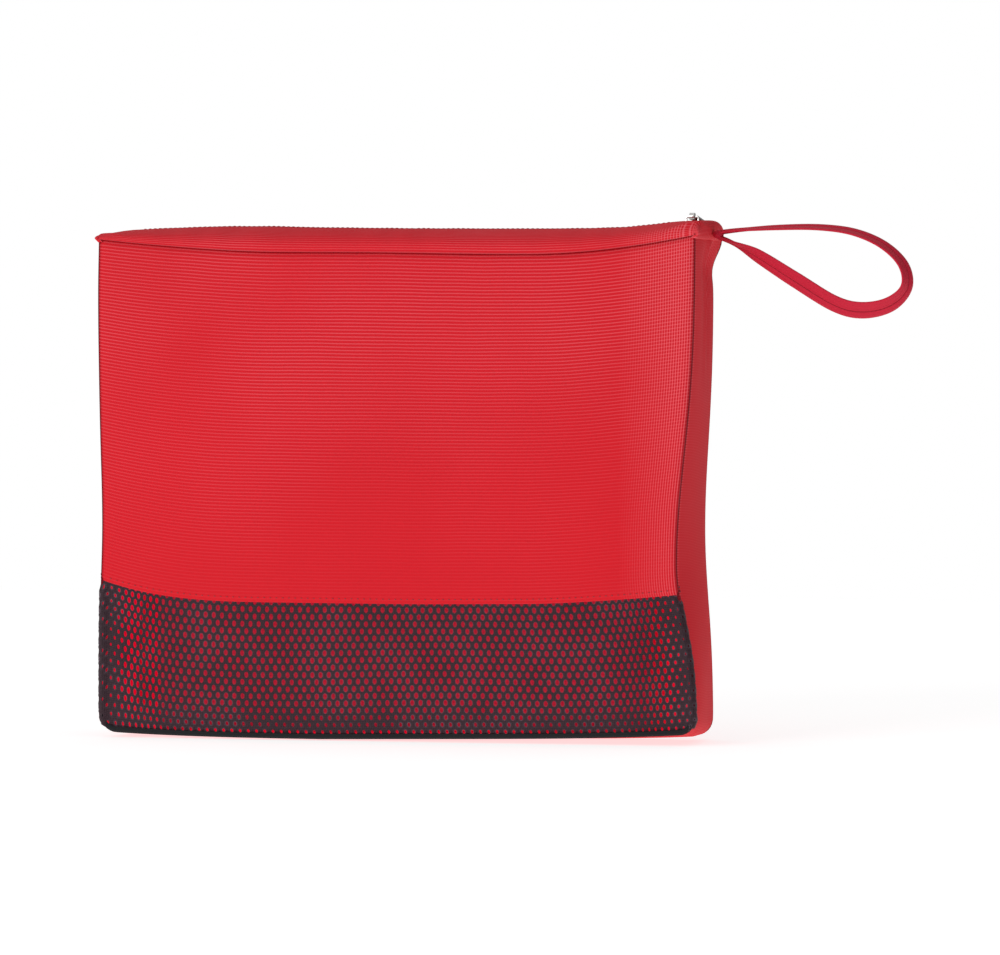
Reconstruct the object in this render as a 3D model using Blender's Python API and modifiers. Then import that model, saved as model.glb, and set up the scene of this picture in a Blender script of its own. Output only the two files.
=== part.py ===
"""A fire blanket in its soft zip pouch: pouch shell, mesh window, zip, wrist strap and the folded blanket.

The pouch stands on its bottom gusset. +X runs along the zip towards the wrist strap, -Y is the front with
the mesh window, and +Z is up. The origin is the middle of the face that the pouch stands on.
"""

import math

import bmesh
import bpy
from mathutils import Matrix, Vector

# Pouch shell, in metres
POUCH_WIDTH = 0.310
POUCH_DEPTH = 0.060
POUCH_HEIGHT = 0.258
CROWN_RISE = 0.012
LOWER_CORNER_RADIUS = 0.016
FABRIC_WALL = 0.0012
GAP = 0.0003

# Mesh window and the tapes that finish its edges
MESH_HEIGHT = 0.070
MESH_BAND_HEIGHT = 0.009
TRIM_WALL = 0.0008
MESH_BINDING_HEIGHT = 0.0045
SEAM_BINDING_WIDTH = 0.008

# Zip: two tapes, two rows of teeth, and the sewn-down ends
ZIP_END_LENGTH = 0.017
ZIP_SLOT_HALF = 0.0043
TAPE_WALL = 0.0006
TAPE_HALF_WIDTH = 0.014
TEETH_CHANNEL_HALF = 0.0007
TEETH_ROW_WIDTH = 0.0023
TEETH_HEIGHT = 0.0022
END_FLAP_DROP = 0.007
STOP_LENGTH = 0.0015

# Slider and pull tab
SLIDER_INSET = 0.0087
SLIDER_LENGTH = 0.013
SLIDER_HALF_WIDTH = 0.0039
SLIDER_PLATE = 0.0011
SLIDER_FLANGE = 0.0006
SLIDER_POST_START = 0.0028
SLIDER_POST_END = 0.0052
SLIDER_POST_THICKNESS = 0.0008
BRIDGE_HALF_LENGTH = 0.0036
BRIDGE_RISE = 0.0026
BRIDGE_BAR = 0.0009
BRIDGE_WIDTH = 0.0012
PULL_EYE_CLEARANCE = 0.0003
PULL_EYE_WALL = 0.0007
PULL_EYE_LENGTH = 0.0026
PULL_TAB_LENGTH = 0.020
PULL_TAB_WIDTH = 0.0052
PULL_TAB_WALL = 0.0010
PULL_TAB_DROOP = math.radians(10)
PULL_GRIP_HOLE = (0.0024, 0.0060)

# Wrist strap
STRAP_WIDTH = 0.011
STRAP_WALL = 0.0017
STRAP_ROOT_RADIUS = 0.0025
STRAP_ROOT_DROP = 0.0040

# Folded blanket and its pull tapes
MOUTH_CLEARANCE = 0.0015
BLANKET_FACE_CLEARANCE = 0.0030
BLANKET_HEADROOM = 0.0215
BLANKET_EDGE_RADIUS = 0.006
PULL_TAPE_WIDTH = 0.025
PULL_TAPE_RUN = 0.034
PULL_TAPE_WALL = 0.0016
PULL_TAPE_INSET = 0.045

ARC_STEPS = 6
CROWN_STEPS = 8

# Places that follow from the sizes above
HALF_WIDTH = POUCH_WIDTH / 2
HALF_DEPTH = POUCH_DEPTH / 2
INNER_HALF_WIDTH = HALF_WIDTH - FABRIC_WALL
INNER_HALF_DEPTH = HALF_DEPTH - FABRIC_WALL
CROWN_START = POUCH_HEIGHT - CROWN_RISE
PANEL_TOP = CROWN_START - GAP
CROWN_RUN = HALF_DEPTH - ZIP_SLOT_HALF
LIP_HALF_LENGTH = HALF_WIDTH - ZIP_END_LENGTH
TAPE_INSET = FABRIC_WALL + GAP
TAPE_TOP = POUCH_HEIGHT - TAPE_INSET
TAPE_BOTTOM = TAPE_TOP - TAPE_WALL
TEETH_BOTTOM = TAPE_TOP + GAP
TEETH_TOP = TEETH_BOTTOM + TEETH_HEIGHT
SLIDER_X = HALF_WIDTH - SLIDER_INSET
STOP_X = SLIDER_X + SLIDER_LENGTH / 2 + GAP
SLIDER_TOP_UNDER = TEETH_TOP + GAP
SLIDER_TOP = SLIDER_TOP_UNDER + SLIDER_PLATE
BRIDGE_BAR_Z = SLIDER_TOP + BRIDGE_RISE
END_FLAP_X = HALF_WIDTH + GAP + FABRIC_WALL
STRAP_AXIS_X = END_FLAP_X + GAP + STRAP_ROOT_RADIUS
STRAP_AXIS_Z = POUCH_HEIGHT - STRAP_ROOT_DROP

# The strap's middle line as it lies, from its root: along X, up Z, and its twist in degrees
STRAP_ROUTE = (
    (0.0000, 0.0009, 0),
    (0.0105, 0.0021, 0),
    (0.0300, 0.0034, 0),
    (0.0520, 0.0036, 0),
    (0.0700, 0.0012, 4),
    (0.0850, -0.0052, 14),
    (0.0950, -0.0150, 26),
    (0.0965, -0.0260, 34),
    (0.0880, -0.0345, 38),
    (0.0740, -0.0375, 40),
    (0.0600, -0.0343, 40),
    (0.0400, -0.0226, 34),
    (0.0200, -0.0103, 18),
    (0.0080, -0.0042, 4),
    (0.0000, -0.0012, 0),
)


def clear_scene():
    for obj in list(bpy.data.objects):
        bpy.data.objects.remove(obj, do_unlink=True)


def collection(name):
    made = bpy.data.collections.new(name)
    bpy.context.scene.collection.children.link(made)
    return made


def material(name, colour, roughness, metallic=0.0):
    made = bpy.data.materials.new(name)
    made.use_nodes = True
    shader = made.node_tree.nodes["Principled BSDF"]
    shader.inputs["Base Color"].default_value = (*colour, 1.0)
    shader.inputs["Roughness"].default_value = roughness
    shader.inputs["Metallic"].default_value = metallic
    return made


def add_object(name, mesh, group, finish=None):
    obj = bpy.data.objects.new(name, mesh)
    group.objects.link(obj)
    if finish is not None:
        mesh.materials.append(finish)
    return obj


def box(name, low, high, group, finish=None, bevel=0.0, segments=2):
    """A cuboid between two corners, with its origin in its middle and its edges rounded."""
    low, high = Vector(low), Vector(high)
    shape = bmesh.new()
    bmesh.ops.create_cube(shape, size=1.0)
    bmesh.ops.scale(shape, vec=high - low, verts=shape.verts)
    mesh = bpy.data.meshes.new(name)
    shape.to_mesh(mesh)
    shape.free()
    obj = add_object(name, mesh, group, finish)
    obj.location = (low + high) / 2
    if bevel:
        rounding = obj.modifiers.new("Bevel", "BEVEL")
        rounding.width = bevel
        rounding.segments = segments
        rounding.limit_method = "ANGLE"
    return obj


def cylinder_across(name, centre, radius, length, group):
    """A round bar along Y."""
    shape = bmesh.new()
    bmesh.ops.create_cone(
        shape, cap_ends=True, segments=20, radius1=radius, radius2=radius, depth=length
    )
    mesh = bpy.data.meshes.new(name)
    shape.to_mesh(mesh)
    shape.free()
    obj = add_object(name, mesh, group)
    obj.rotation_euler = (math.pi / 2, 0, 0)
    obj.location = centre
    return obj


def arc(centre, radius, start_degrees, end_degrees, steps=ARC_STEPS):
    """Points on an arc, from one angle to another, both included."""
    angles = [
        math.radians(start_degrees + (end_degrees - start_degrees) * step / steps)
        for step in range(steps + 1)
    ]
    return [
        (centre[0] + radius * math.cos(angle), centre[1] + radius * math.sin(angle))
        for angle in angles
    ]


def outline_curve(name, outlines, half_thickness, group):
    """A flat curve in its own XY plane, extruded to both sides. A second outline is a hole in the first."""
    curve = bpy.data.curves.new(name, "CURVE")
    curve.dimensions = "2D"
    curve.fill_mode = "BOTH"
    curve.extrude = half_thickness
    for points in outlines:
        spline = curve.splines.new("POLY")
        spline.points.add(len(points) - 1)
        for place, (u, v) in zip(spline.points, points):
            place.co = (u, v, 0.0, 1.0)
        spline.use_cyclic_u = True
    obj = bpy.data.objects.new(name, curve)
    group.objects.link(obj)
    return obj


def as_mesh(obj, finish=None):
    """The same shape as a welded mesh object, in the place of the curve object."""
    bpy.context.view_layer.update()
    evaluated = obj.evaluated_get(bpy.context.evaluated_depsgraph_get())
    mesh = bpy.data.meshes.new_from_object(evaluated)
    place, name, group = obj.matrix_world.copy(), obj.name, obj.users_collection[0]
    bpy.data.objects.remove(obj, do_unlink=True)
    shape = bmesh.new()
    shape.from_mesh(mesh)
    bmesh.ops.remove_doubles(shape, verts=shape.verts, dist=0.00001)
    bmesh.ops.recalc_face_normals(shape, faces=shape.faces)
    shape.to_mesh(mesh)
    shape.free()
    mesh.materials.clear()
    made = add_object(name, mesh, group, finish)
    made.matrix_world = place
    return made


def upright_outline(name, outlines, y_low, y_high, group, finish=None):
    """Outlines drawn in X and Z, as a solid between two depths."""
    obj = outline_curve(name, outlines, (y_high - y_low) / 2, group)
    obj.rotation_euler = (math.pi / 2, 0, 0)
    obj.location = (0, (y_low + y_high) / 2, 0)
    return as_mesh(obj, finish)


def side_outline(name, outline, x_low, x_high, group, finish=None):
    """An outline drawn in Y and Z, as a solid between two places along the zip."""
    obj = outline_curve(name, [outline], (x_high - x_low) / 2, group)
    obj.rotation_euler = (math.pi / 2, 0, math.pi / 2)
    obj.location = ((x_low + x_high) / 2, 0, 0)
    return as_mesh(obj, finish)


def crown_points(inset, start_y=None):
    """The back half of the crowned top, from its seam or from a given depth up to the zip slot's edge.

    The inset moves the curve inwards, for the cloth's inner side and the tape under it.
    """
    run, rise = CROWN_RUN - inset, CROWN_RISE - inset
    start = 0.0 if start_y is None else math.acos((start_y - ZIP_SLOT_HALF) / run)
    points = []
    for step in range(CROWN_STEPS + 1):
        angle = start + (math.pi / 2 - start) * step / CROWN_STEPS
        points.append((ZIP_SLOT_HALF + run * math.cos(angle), CROWN_START + rise * math.sin(angle)))
    return points


def crown_layer(outer_inset, inner_inset, start_y=None, end_y=ZIP_SLOT_HALF):
    """One layer of the crowned top's back half, as a closed outline."""
    outer = crown_points(outer_inset, start_y)
    inner = crown_points(inner_inset, start_y)
    if end_y < ZIP_SLOT_HALF:
        outer.append((end_y, outer[-1][1]))
        inner.append((end_y, inner[-1][1]))
    return outer + inner[::-1]


def mirrored(points, side):
    return [(side * y, z) for y, z in points]


def whole_crown(inset):
    """The crowned top from its back seam to its front seam."""
    back = crown_points(inset)
    return back + mirrored(back, -1)[::-1]


def combine(obj, tool, operation):
    """Cuts the tool from the object or joins it on, and keeps the tool out of the render."""
    step = obj.modifiers.new(f"{operation.title()} {tool.name}", "BOOLEAN")
    step.operation = operation
    step.object = tool
    tool.hide_render = True
    tool.display_type = "WIRE"
    return obj


def rounded_panel_outline(half_width, bottom, top, radius):
    """A panel seen from the front, square at its top and round at its two lower corners."""
    right = arc((half_width - radius, bottom + radius), radius, 0, -90)
    left = arc((-half_width + radius, bottom + radius), radius, -90, -180)
    return [(-half_width, top), (half_width, top)] + right + left


def u_strip_outline(half_width, bottom, top, radius, wall):
    """A strip seen edge on, down one side, round the lower corners and up the other side."""
    corner_z = bottom + radius
    inner = radius - wall
    outer_path = (
        [(-half_width, top)]
        + arc((-half_width + radius, corner_z), radius, 180, 270)
        + arc((half_width - radius, corner_z), radius, 270, 360)
        + [(half_width, top)]
    )
    inner_path = (
        [(half_width - wall, top)]
        + arc((half_width - radius, corner_z), inner, 0, -90)
        + arc((-half_width + radius, corner_z), inner, -90, -180)
        + [(-half_width + wall, top)]
    )
    return outer_path + inner_path


def build_shell(group, finishes):
    """The front and back panels, the mesh window with its bindings, and the gusset that joins them."""
    red, mesh_cloth, black = finishes["shell"], finishes["mesh"], finishes["tape"]
    front, back = -HALF_DEPTH, HALF_DEPTH
    box(
        "front_panel",
        (-HALF_WIDTH, front, MESH_HEIGHT),
        (HALF_WIDTH, front + FABRIC_WALL, PANEL_TOP),
        group,
        red,
    )
    window_bottom = MESH_BINDING_HEIGHT + GAP
    upright_outline(
        "mesh_window",
        [
            rounded_panel_outline(
                HALF_WIDTH,
                window_bottom,
                MESH_HEIGHT - GAP,
                LOWER_CORNER_RADIUS - window_bottom,
            )
        ],
        front,
        front + FABRIC_WALL,
        group,
        mesh_cloth,
    )
    binding_half = HALF_WIDTH - LOWER_CORNER_RADIUS
    box(
        "mesh_bottom_binding",
        (-binding_half, front, 0),
        (binding_half, front + FABRIC_WALL, MESH_BINDING_HEIGHT),
        group,
        black,
    )
    band_half = INNER_HALF_WIDTH - GAP - TRIM_WALL - GAP
    band_front = -INNER_HALF_DEPTH + GAP
    box(
        "mesh_top_band",
        (-band_half, band_front, MESH_HEIGHT - MESH_BAND_HEIGHT / 2),
        (band_half, band_front + TRIM_WALL, MESH_HEIGHT + MESH_BAND_HEIGHT / 2),
        group,
        black,
    )
    upright_outline(
        "back_panel",
        [rounded_panel_outline(HALF_WIDTH, 0, PANEL_TOP, LOWER_CORNER_RADIUS)],
        back - FABRIC_WALL,
        back,
        group,
        red,
    )
    gusset_half_depth = INNER_HALF_DEPTH - GAP
    upright_outline(
        "gusset_strip",
        [u_strip_outline(HALF_WIDTH, 0, PANEL_TOP, LOWER_CORNER_RADIUS, FABRIC_WALL)],
        -gusset_half_depth,
        gusset_half_depth,
        group,
        red,
    )


def build_seam_bindings(group, finishes):
    """The tapes that cover the raw seam edges inside the pouch, against the gusset."""
    inset = FABRIC_WALL + GAP
    outline = u_strip_outline(
        HALF_WIDTH - inset,
        inset,
        PANEL_TOP - GAP,
        LOWER_CORNER_RADIUS - inset,
        TRIM_WALL,
    )
    edge = INNER_HALF_DEPTH - GAP
    for name, y_low, y_high in (
        ("seam_binding_front", -edge, -edge + SEAM_BINDING_WIDTH),
        ("seam_binding_back", edge - SEAM_BINDING_WIDTH, edge),
    ):
        upright_outline(name, [outline], y_low, y_high, group, finishes["tape"])


def build_end_cap(side, label, group, cutters, finishes):
    """The top gusset's sewn-down end: crowned cloth closed by an end wall that laps over the side gusset."""
    start, wall_x = LIP_HALF_LENGTH + GAP, HALF_WIDTH + GAP
    x_low, x_high = sorted((side * start, side * END_FLAP_X))
    cap = side_outline(
        f"top_gusset_end_{label}", whole_crown(0.0), x_low, x_high, group, finishes["shell"]
    )
    x_low, x_high = sorted((side * (start - FABRIC_WALL), side * wall_x))
    inside = whole_crown(FABRIC_WALL)
    below = CROWN_START - FABRIC_WALL
    inside = [(inside[0][0], below)] + inside + [(inside[-1][0], below)]
    hollow = side_outline(f"end_hollow_{label}", inside, x_low, x_high, cutters)
    combine(cap, hollow, "DIFFERENCE")
    x_low, x_high = sorted((side * wall_x, side * END_FLAP_X))
    flap = box(
        f"end_flap_{label}",
        (x_low, -HALF_DEPTH, CROWN_START - END_FLAP_DROP),
        (x_high, HALF_DEPTH, CROWN_START),
        cutters,
    )
    combine(cap, flap, "UNION")
    notch_end = STOP_X + STOP_LENGTH + GAP
    x_low, x_high = sorted((side * (start - FABRIC_WALL), side * notch_end))
    notch = box(
        f"zip_notch_{label}",
        (x_low, -ZIP_SLOT_HALF, TAPE_TOP),
        (x_high, ZIP_SLOT_HALF, POUCH_HEIGHT + FABRIC_WALL),
        cutters,
    )
    combine(cap, notch, "DIFFERENCE")


def build_zip_end(side, label, group, cutters, finishes):
    """The sewn-down end of the zip's tape, and the last teeth with their stop."""

    def across(x_low, x_high):
        return sorted((side * x_low, side * x_high))

    start = LIP_HALF_LENGTH + GAP
    x_low, x_high = across(start, INNER_HALF_WIDTH - GAP)
    layer = crown_layer(TAPE_INSET, TAPE_INSET + TAPE_WALL, TAPE_HALF_WIDTH)
    upper, lower = layer[: len(layer) // 2], layer[len(layer) // 2 :]
    outline = upper + mirrored(upper, -1)[::-1] + mirrored(lower, -1)[::-1] + lower
    tape = side_outline(f"zip_tape_end_{label}", outline, x_low, x_high, group, finishes["tape"])
    x_low, x_high = across(start - GAP, SLIDER_X + SLIDER_POST_END + GAP)
    slit = box(
        f"tape_slit_{label}",
        (x_low, -TEETH_CHANNEL_HALF, TAPE_BOTTOM - GAP),
        (x_high, TEETH_CHANNEL_HALF, TAPE_TOP + GAP),
        cutters,
    )
    combine(tape, slit, "DIFFERENCE")

    row_edge = TEETH_CHANNEL_HALF + TEETH_ROW_WIDTH
    x_low, x_high = across(start, STOP_X + STOP_LENGTH)
    stop = box(
        {"right": "zip_top_stop", "left": "zip_bottom_stop"}[label],
        (x_low, -row_edge, TEETH_BOTTOM),
        (x_high, row_edge, TEETH_TOP),
        group,
        finishes["teeth"],
    )
    x_low, x_high = across(start - GAP, STOP_X)
    channel = box(
        f"teeth_channel_{label}",
        (x_low, -TEETH_CHANNEL_HALF, TEETH_BOTTOM - GAP),
        (x_high, TEETH_CHANNEL_HALF, TEETH_TOP + GAP),
        cutters,
    )
    combine(stop, channel, "DIFFERENCE")


def build_lip(side, label, group, finishes):
    """One half of the crowned top with its zip tape and teeth. It hinges along its panel's top seam."""
    x_low, x_high = -LIP_HALF_LENGTH, LIP_HALF_LENGTH
    cloth = mirrored(crown_layer(0.0, FABRIC_WALL), side)
    side_outline(f"top_gusset_{label}", cloth, x_low, x_high, group, finishes["shell"])
    tape = crown_layer(TAPE_INSET, TAPE_INSET + TAPE_WALL, TAPE_HALF_WIDTH, TEETH_CHANNEL_HALF)
    side_outline(
        f"zip_tape_{label}", mirrored(tape, side), x_low, x_high, group, finishes["tape"]
    )
    row_edge = TEETH_CHANNEL_HALF + TEETH_ROW_WIDTH
    y_low, y_high = sorted((side * TEETH_CHANNEL_HALF, side * row_edge))
    box(
        f"zip_teeth_{label}",
        (x_low, y_low, TEETH_BOTTOM),
        (x_high, y_high, TEETH_TOP),
        group,
        finishes["teeth"],
    )


def bridge_outline():
    """The slider's arched bridge seen from the front."""
    top = BRIDGE_BAR_Z + BRIDGE_BAR / 2
    outer, inner = BRIDGE_HALF_LENGTH, BRIDGE_HALF_LENGTH - BRIDGE_BAR
    root = SLIDER_TOP - SLIDER_PLATE / 2
    bend = BRIDGE_BAR * 1.5
    inner_bend = bend - BRIDGE_BAR
    return (
        [(SLIDER_X - outer, root)]
        + arc((SLIDER_X - outer + bend, top - bend), bend, 180, 90, 4)
        + arc((SLIDER_X + outer - bend, top - bend), bend, 90, 0, 4)
        + [(SLIDER_X + outer, root), (SLIDER_X + inner, root)]
        + arc((SLIDER_X + outer - bend, top - bend), inner_bend, 0, 90, 4)
        + arc((SLIDER_X - outer + bend, top - bend), inner_bend, 90, 180, 4)
        + [(SLIDER_X - inner, root)]
    )


def build_slider(group, cutters, finishes):
    """Two plates round the teeth, joined by the post that parts them, with a bridge for the pull tab."""
    rear, front = SLIDER_X - SLIDER_LENGTH / 2, SLIDER_X + SLIDER_LENGTH / 2
    width = SLIDER_HALF_WIDTH
    slider = box(
        "zip_slider",
        (rear, -width, SLIDER_TOP_UNDER),
        (front, width, SLIDER_TOP),
        group,
        finishes["metal"],
    )
    lower_top = TAPE_BOTTOM - GAP
    lower_plate = box(
        "slider_lower_plate",
        (rear, -width, lower_top - SLIDER_PLATE),
        (front, width, lower_top),
        cutters,
    )
    half_post = SLIDER_POST_THICKNESS / 2
    post = box(
        "slider_post",
        (SLIDER_X + SLIDER_POST_START, -half_post, lower_top - SLIDER_PLATE / 2),
        (SLIDER_X + SLIDER_POST_END, half_post, SLIDER_TOP - SLIDER_PLATE / 2),
        cutters,
    )
    bridge = upright_outline(
        "slider_bridge",
        [bridge_outline()],
        -BRIDGE_WIDTH / 2,
        BRIDGE_WIDTH / 2,
        cutters,
    )
    combine(slider, post, "UNION")
    combine(slider, lower_plate, "UNION")
    for label, side in (("front", -1), ("back", 1)):
        y_low, y_high = sorted((side * (width - SLIDER_FLANGE), side * width))
        flange = box(
            f"slider_flange_{label}",
            (rear, y_low, TEETH_BOTTOM),
            (front, y_high, SLIDER_TOP - SLIDER_PLATE / 2),
            cutters,
        )
        combine(slider, flange, "UNION")
    combine(slider, bridge, "UNION")


def build_pull_tab(group, cutters, finishes):
    """A flat tab with a rolled eye round the bridge, drooping over the back of the pouch.

    Its origin is on the bridge's bar, which it swings about.
    """
    pivot = Vector((SLIDER_X, 0, BRIDGE_BAR_Z))
    bar_corner = math.hypot(BRIDGE_WIDTH / 2, BRIDGE_BAR / 2)
    inner = bar_corner + PULL_EYE_CLEARANCE
    outer = inner + PULL_EYE_WALL
    ring = [arc((0, 0), outer, 0, 345, 23), arc((0, 0), inner, 0, 345, 23)]
    eye = outline_curve("zip_pull_tab", ring, PULL_EYE_LENGTH / 2, group)
    eye.rotation_euler = (0, math.pi / 2, 0)
    tab = as_mesh(eye, finishes["metal"])
    tab.data.transform(tab.matrix_world)
    tab.matrix_world = Matrix.Translation(pivot)
    turn = Matrix.Rotation(-PULL_TAB_DROOP, 4, "X")

    def carried_box(name, low, high, bevel=0.0):
        made = box(name, low, high, cutters, bevel=bevel)
        made.matrix_world = Matrix.Translation(pivot) @ turn @ Matrix.Translation(made.location)
        return made

    half_width, half_wall = PULL_TAB_WIDTH / 2, PULL_TAB_WALL / 2
    root = (inner + outer) / 2
    leaf = carried_box(
        "pull_tab_leaf", (-half_width, root, -half_wall), (half_width, PULL_TAB_LENGTH, half_wall)
    )
    combine(tab, leaf, "UNION")
    hole_width, hole_length = PULL_GRIP_HOLE
    hole_end = PULL_TAB_LENGTH - PULL_TAB_WIDTH / 2
    hole = carried_box(
        "pull_tab_hole",
        (-hole_width / 2, hole_end - hole_length, -PULL_TAB_WALL),
        (hole_width / 2, hole_end, PULL_TAB_WALL),
    )
    combine(tab, hole, "DIFFERENCE")


def build_strap(group, cutters, finishes):
    """A flat strap whose two ends are stitched together at its root. Its origin is on the root's axis."""
    section = outline_curve(
        "strap_section",
        [
            [
                (-STRAP_WIDTH / 2, -STRAP_WALL / 2),
                (STRAP_WIDTH / 2, -STRAP_WALL / 2),
                (STRAP_WIDTH / 2, STRAP_WALL / 2),
                (-STRAP_WIDTH / 2, STRAP_WALL / 2),
            ]
        ],
        0.0,
        cutters,
    )
    section.hide_render = True
    curve = bpy.data.curves.new("wrist_strap", "CURVE")
    curve.dimensions = "3D"
    curve.twist_mode = "MINIMUM"
    curve.bevel_mode = "OBJECT"
    curve.bevel_object = section
    curve.use_fill_caps = True
    curve.resolution_u = 5
    spline = curve.splines.new("BEZIER")
    spline.bezier_points.add(len(STRAP_ROUTE) - 1)
    for place, (x, z, twist) in zip(spline.bezier_points, STRAP_ROUTE):
        place.co = (x, 0.0, z)
        place.handle_left_type = place.handle_right_type = "AUTO"
        place.tilt = math.radians(twist)
    ribbon = bpy.data.objects.new("wrist_strap", curve)
    group.objects.link(ribbon)
    ribbon.location = (STRAP_AXIS_X, 0, STRAP_AXIS_Z)
    strap = as_mesh(ribbon, finishes["strap"])
    root = cylinder_across(
        "strap_root",
        (STRAP_AXIS_X, 0, STRAP_AXIS_Z),
        STRAP_ROOT_RADIUS,
        STRAP_WIDTH + 2 * GAP,
        cutters,
    )
    combine(strap, root, "UNION")


def build_blanket(group, finishes):
    """The folded blanket, standing on the bound seams, and the two tapes that pull it out."""
    half_width = LIP_HALF_LENGTH - MOUTH_CLEARANCE
    half_depth = INNER_HALF_DEPTH - BLANKET_FACE_CLEARANCE
    bottom = FABRIC_WALL + GAP + TRIM_WALL + GAP
    top = TAPE_BOTTOM - BLANKET_HEADROOM
    box(
        "folded_blanket",
        (-half_width, -half_depth, bottom),
        (half_width, half_depth, top),
        group,
        finishes["blanket"],
        bevel=BLANKET_EDGE_RADIUS,
        segments=3,
    )
    for label, side in (("left", -1), ("right", 1)):
        middle = side * (half_width - PULL_TAPE_INSET)
        box(
            f"blanket_pull_tape_{label}",
            (middle - PULL_TAPE_WIDTH / 2, -PULL_TAPE_RUN / 2, top + GAP),
            (middle + PULL_TAPE_WIDTH / 2, PULL_TAPE_RUN / 2, top + GAP + PULL_TAPE_WALL),
            group,
            finishes["tape"],
        )


def main():
    clear_scene()
    parts = collection("fire_blanket_pouch")
    cutters = collection("cutters")
    finishes = {
        "shell": material("red ribbed cloth", (0.60, 0.030, 0.045), 0.75),
        "mesh": material("black mesh", (0.030, 0.026, 0.032), 0.80),
        "tape": material("black woven tape", (0.015, 0.015, 0.017), 0.75),
        "teeth": material("black zip teeth", (0.020, 0.020, 0.022), 0.45),
        "metal": material("bright slider metal", (0.80, 0.80, 0.80), 0.25, 1.0),
        "strap": material("red strap cloth", (0.48, 0.022, 0.045), 0.75),
        "blanket": material("crimson blanket cloth", (0.52, 0.010, 0.030), 0.60),
    }
    build_shell(parts, finishes)
    build_seam_bindings(parts, finishes)
    for side, label in ((-1, "left"), (1, "right")):
        build_end_cap(side, label, parts, cutters, finishes)
        build_zip_end(side, label, parts, cutters, finishes)
    build_lip(-1, "front", parts, finishes)
    build_lip(1, "back", parts, finishes)
    build_slider(parts, cutters, finishes)
    build_pull_tab(parts, cutters, finishes)
    build_strap(parts, cutters, finishes)
    build_blanket(parts, finishes)


main()
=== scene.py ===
"""A fire blanket in its soft zip pouch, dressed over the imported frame.

The pouch is sewn from a ribbed red shell, a black net window, bound seams and a crowned top with a zip. It
carries a folded blanket with two pull tapes, a slider with its pull tab, and a wrist strap. Sizes are metres,
+X runs along the zip towards the strap, -Y is the front and +Z is up.
"""

import logging
import math
from collections.abc import Callable, Iterable, Iterator, Sequence
from contextlib import contextmanager
from dataclasses import dataclass, field
from enum import Enum
from random import Random

import bpy
import numpy as np
from mathutils import Matrix, Vector


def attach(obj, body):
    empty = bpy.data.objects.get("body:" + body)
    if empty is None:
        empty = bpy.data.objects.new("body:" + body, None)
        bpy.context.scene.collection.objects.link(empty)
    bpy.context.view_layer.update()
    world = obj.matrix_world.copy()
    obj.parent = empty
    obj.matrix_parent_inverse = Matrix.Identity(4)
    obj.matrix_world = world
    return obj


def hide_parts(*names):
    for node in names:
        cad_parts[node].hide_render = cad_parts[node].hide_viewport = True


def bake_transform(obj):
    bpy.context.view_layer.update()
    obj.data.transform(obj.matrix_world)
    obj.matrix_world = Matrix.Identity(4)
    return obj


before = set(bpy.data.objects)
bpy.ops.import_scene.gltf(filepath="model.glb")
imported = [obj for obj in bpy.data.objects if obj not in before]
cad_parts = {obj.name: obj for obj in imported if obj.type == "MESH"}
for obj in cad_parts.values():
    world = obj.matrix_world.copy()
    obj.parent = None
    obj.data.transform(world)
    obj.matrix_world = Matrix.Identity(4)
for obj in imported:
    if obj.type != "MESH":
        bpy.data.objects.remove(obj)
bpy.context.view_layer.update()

LOG = logging.getLogger("fire_blanket_pouch")
Place = Callable[[float, float], Vector]
Measure = Callable[[float, float], tuple[float, float]]
Colour = tuple[float, float, float, float]


class Side(Enum):
    """One of two opposite sides, whose value is the sign of its place."""

    @property
    def label(self) -> str:
        """The side's name as pieces and CAD nodes spell it."""
        return self.name.lower()


class Face(Side):
    """The two broad faces of the pouch, by the sign of their Y."""

    FRONT = -1
    BACK = 1


class End(Side):
    """The two ends of the zip, by the sign of their X."""

    LEFT = -1
    RIGHT = 1


# ---------------------------------------------------------------------------------------------------------
# Small arithmetic
# ---------------------------------------------------------------------------------------------------------


def mix(low: float, high: float, share: float) -> float:
    """The value that lies this share of the way from low to high."""
    return low + (high - low) * share


def ease(low: float, high: float, value: float) -> float:
    """A smooth step from 0 at low to 1 at high."""
    share = min(max((value - low) / (high - low), 0.0), 1.0)
    return share * share * (3.0 - 2.0 * share)


def closer_at_end(share: float) -> float:
    """A share whose steps shorten towards 1, where cloth has to bend most."""
    return 1.0 - (1.0 - share) ** 1.5


def bump_at(value: float, centre: float, reach: float) -> float:
    """A bell of height 1 about a centre."""
    return math.exp(-0.5 * ((value - centre) / reach) ** 2)


# ---------------------------------------------------------------------------------------------------------
# Modelling helpers
# ---------------------------------------------------------------------------------------------------------


def pick(obj: bpy.types.Object) -> bpy.types.Object:
    """Makes an object the only selected one, and the active one."""
    bpy.ops.object.select_all(action="DESELECT")
    obj.select_set(True)
    bpy.context.view_layer.objects.active = obj
    return obj


def named_new(name: str) -> bpy.types.Object:
    """Names the object that an operator has just added, and its mesh."""
    obj = bpy.context.object
    obj.name = obj.data.name = name
    return pick(obj)


def modify(obj: bpy.types.Object, kind: str, **settings: object) -> bpy.types.Object:
    """Adds a modifier with these settings and applies it.

    Args:
        obj: The piece to change.
        kind: Blender's name for the modifier type.
        settings: Values for the modifier's own properties.

    Returns:
        The same piece.
    """
    pick(obj)
    step = obj.modifiers.new(kind.title(), kind)
    for key, value in settings.items():
        setattr(step, key, value)
    bpy.ops.object.modifier_apply(modifier=step.name)
    return obj


@contextmanager
def editing(obj: bpy.types.Object) -> Iterator[None]:
    """Opens a piece in edit mode with all of it selected, and closes it again."""
    pick(obj)
    bpy.ops.object.mode_set(mode="EDIT")
    bpy.ops.mesh.select_all(action="SELECT")
    yield
    bpy.ops.object.mode_set(mode="OBJECT")


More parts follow.
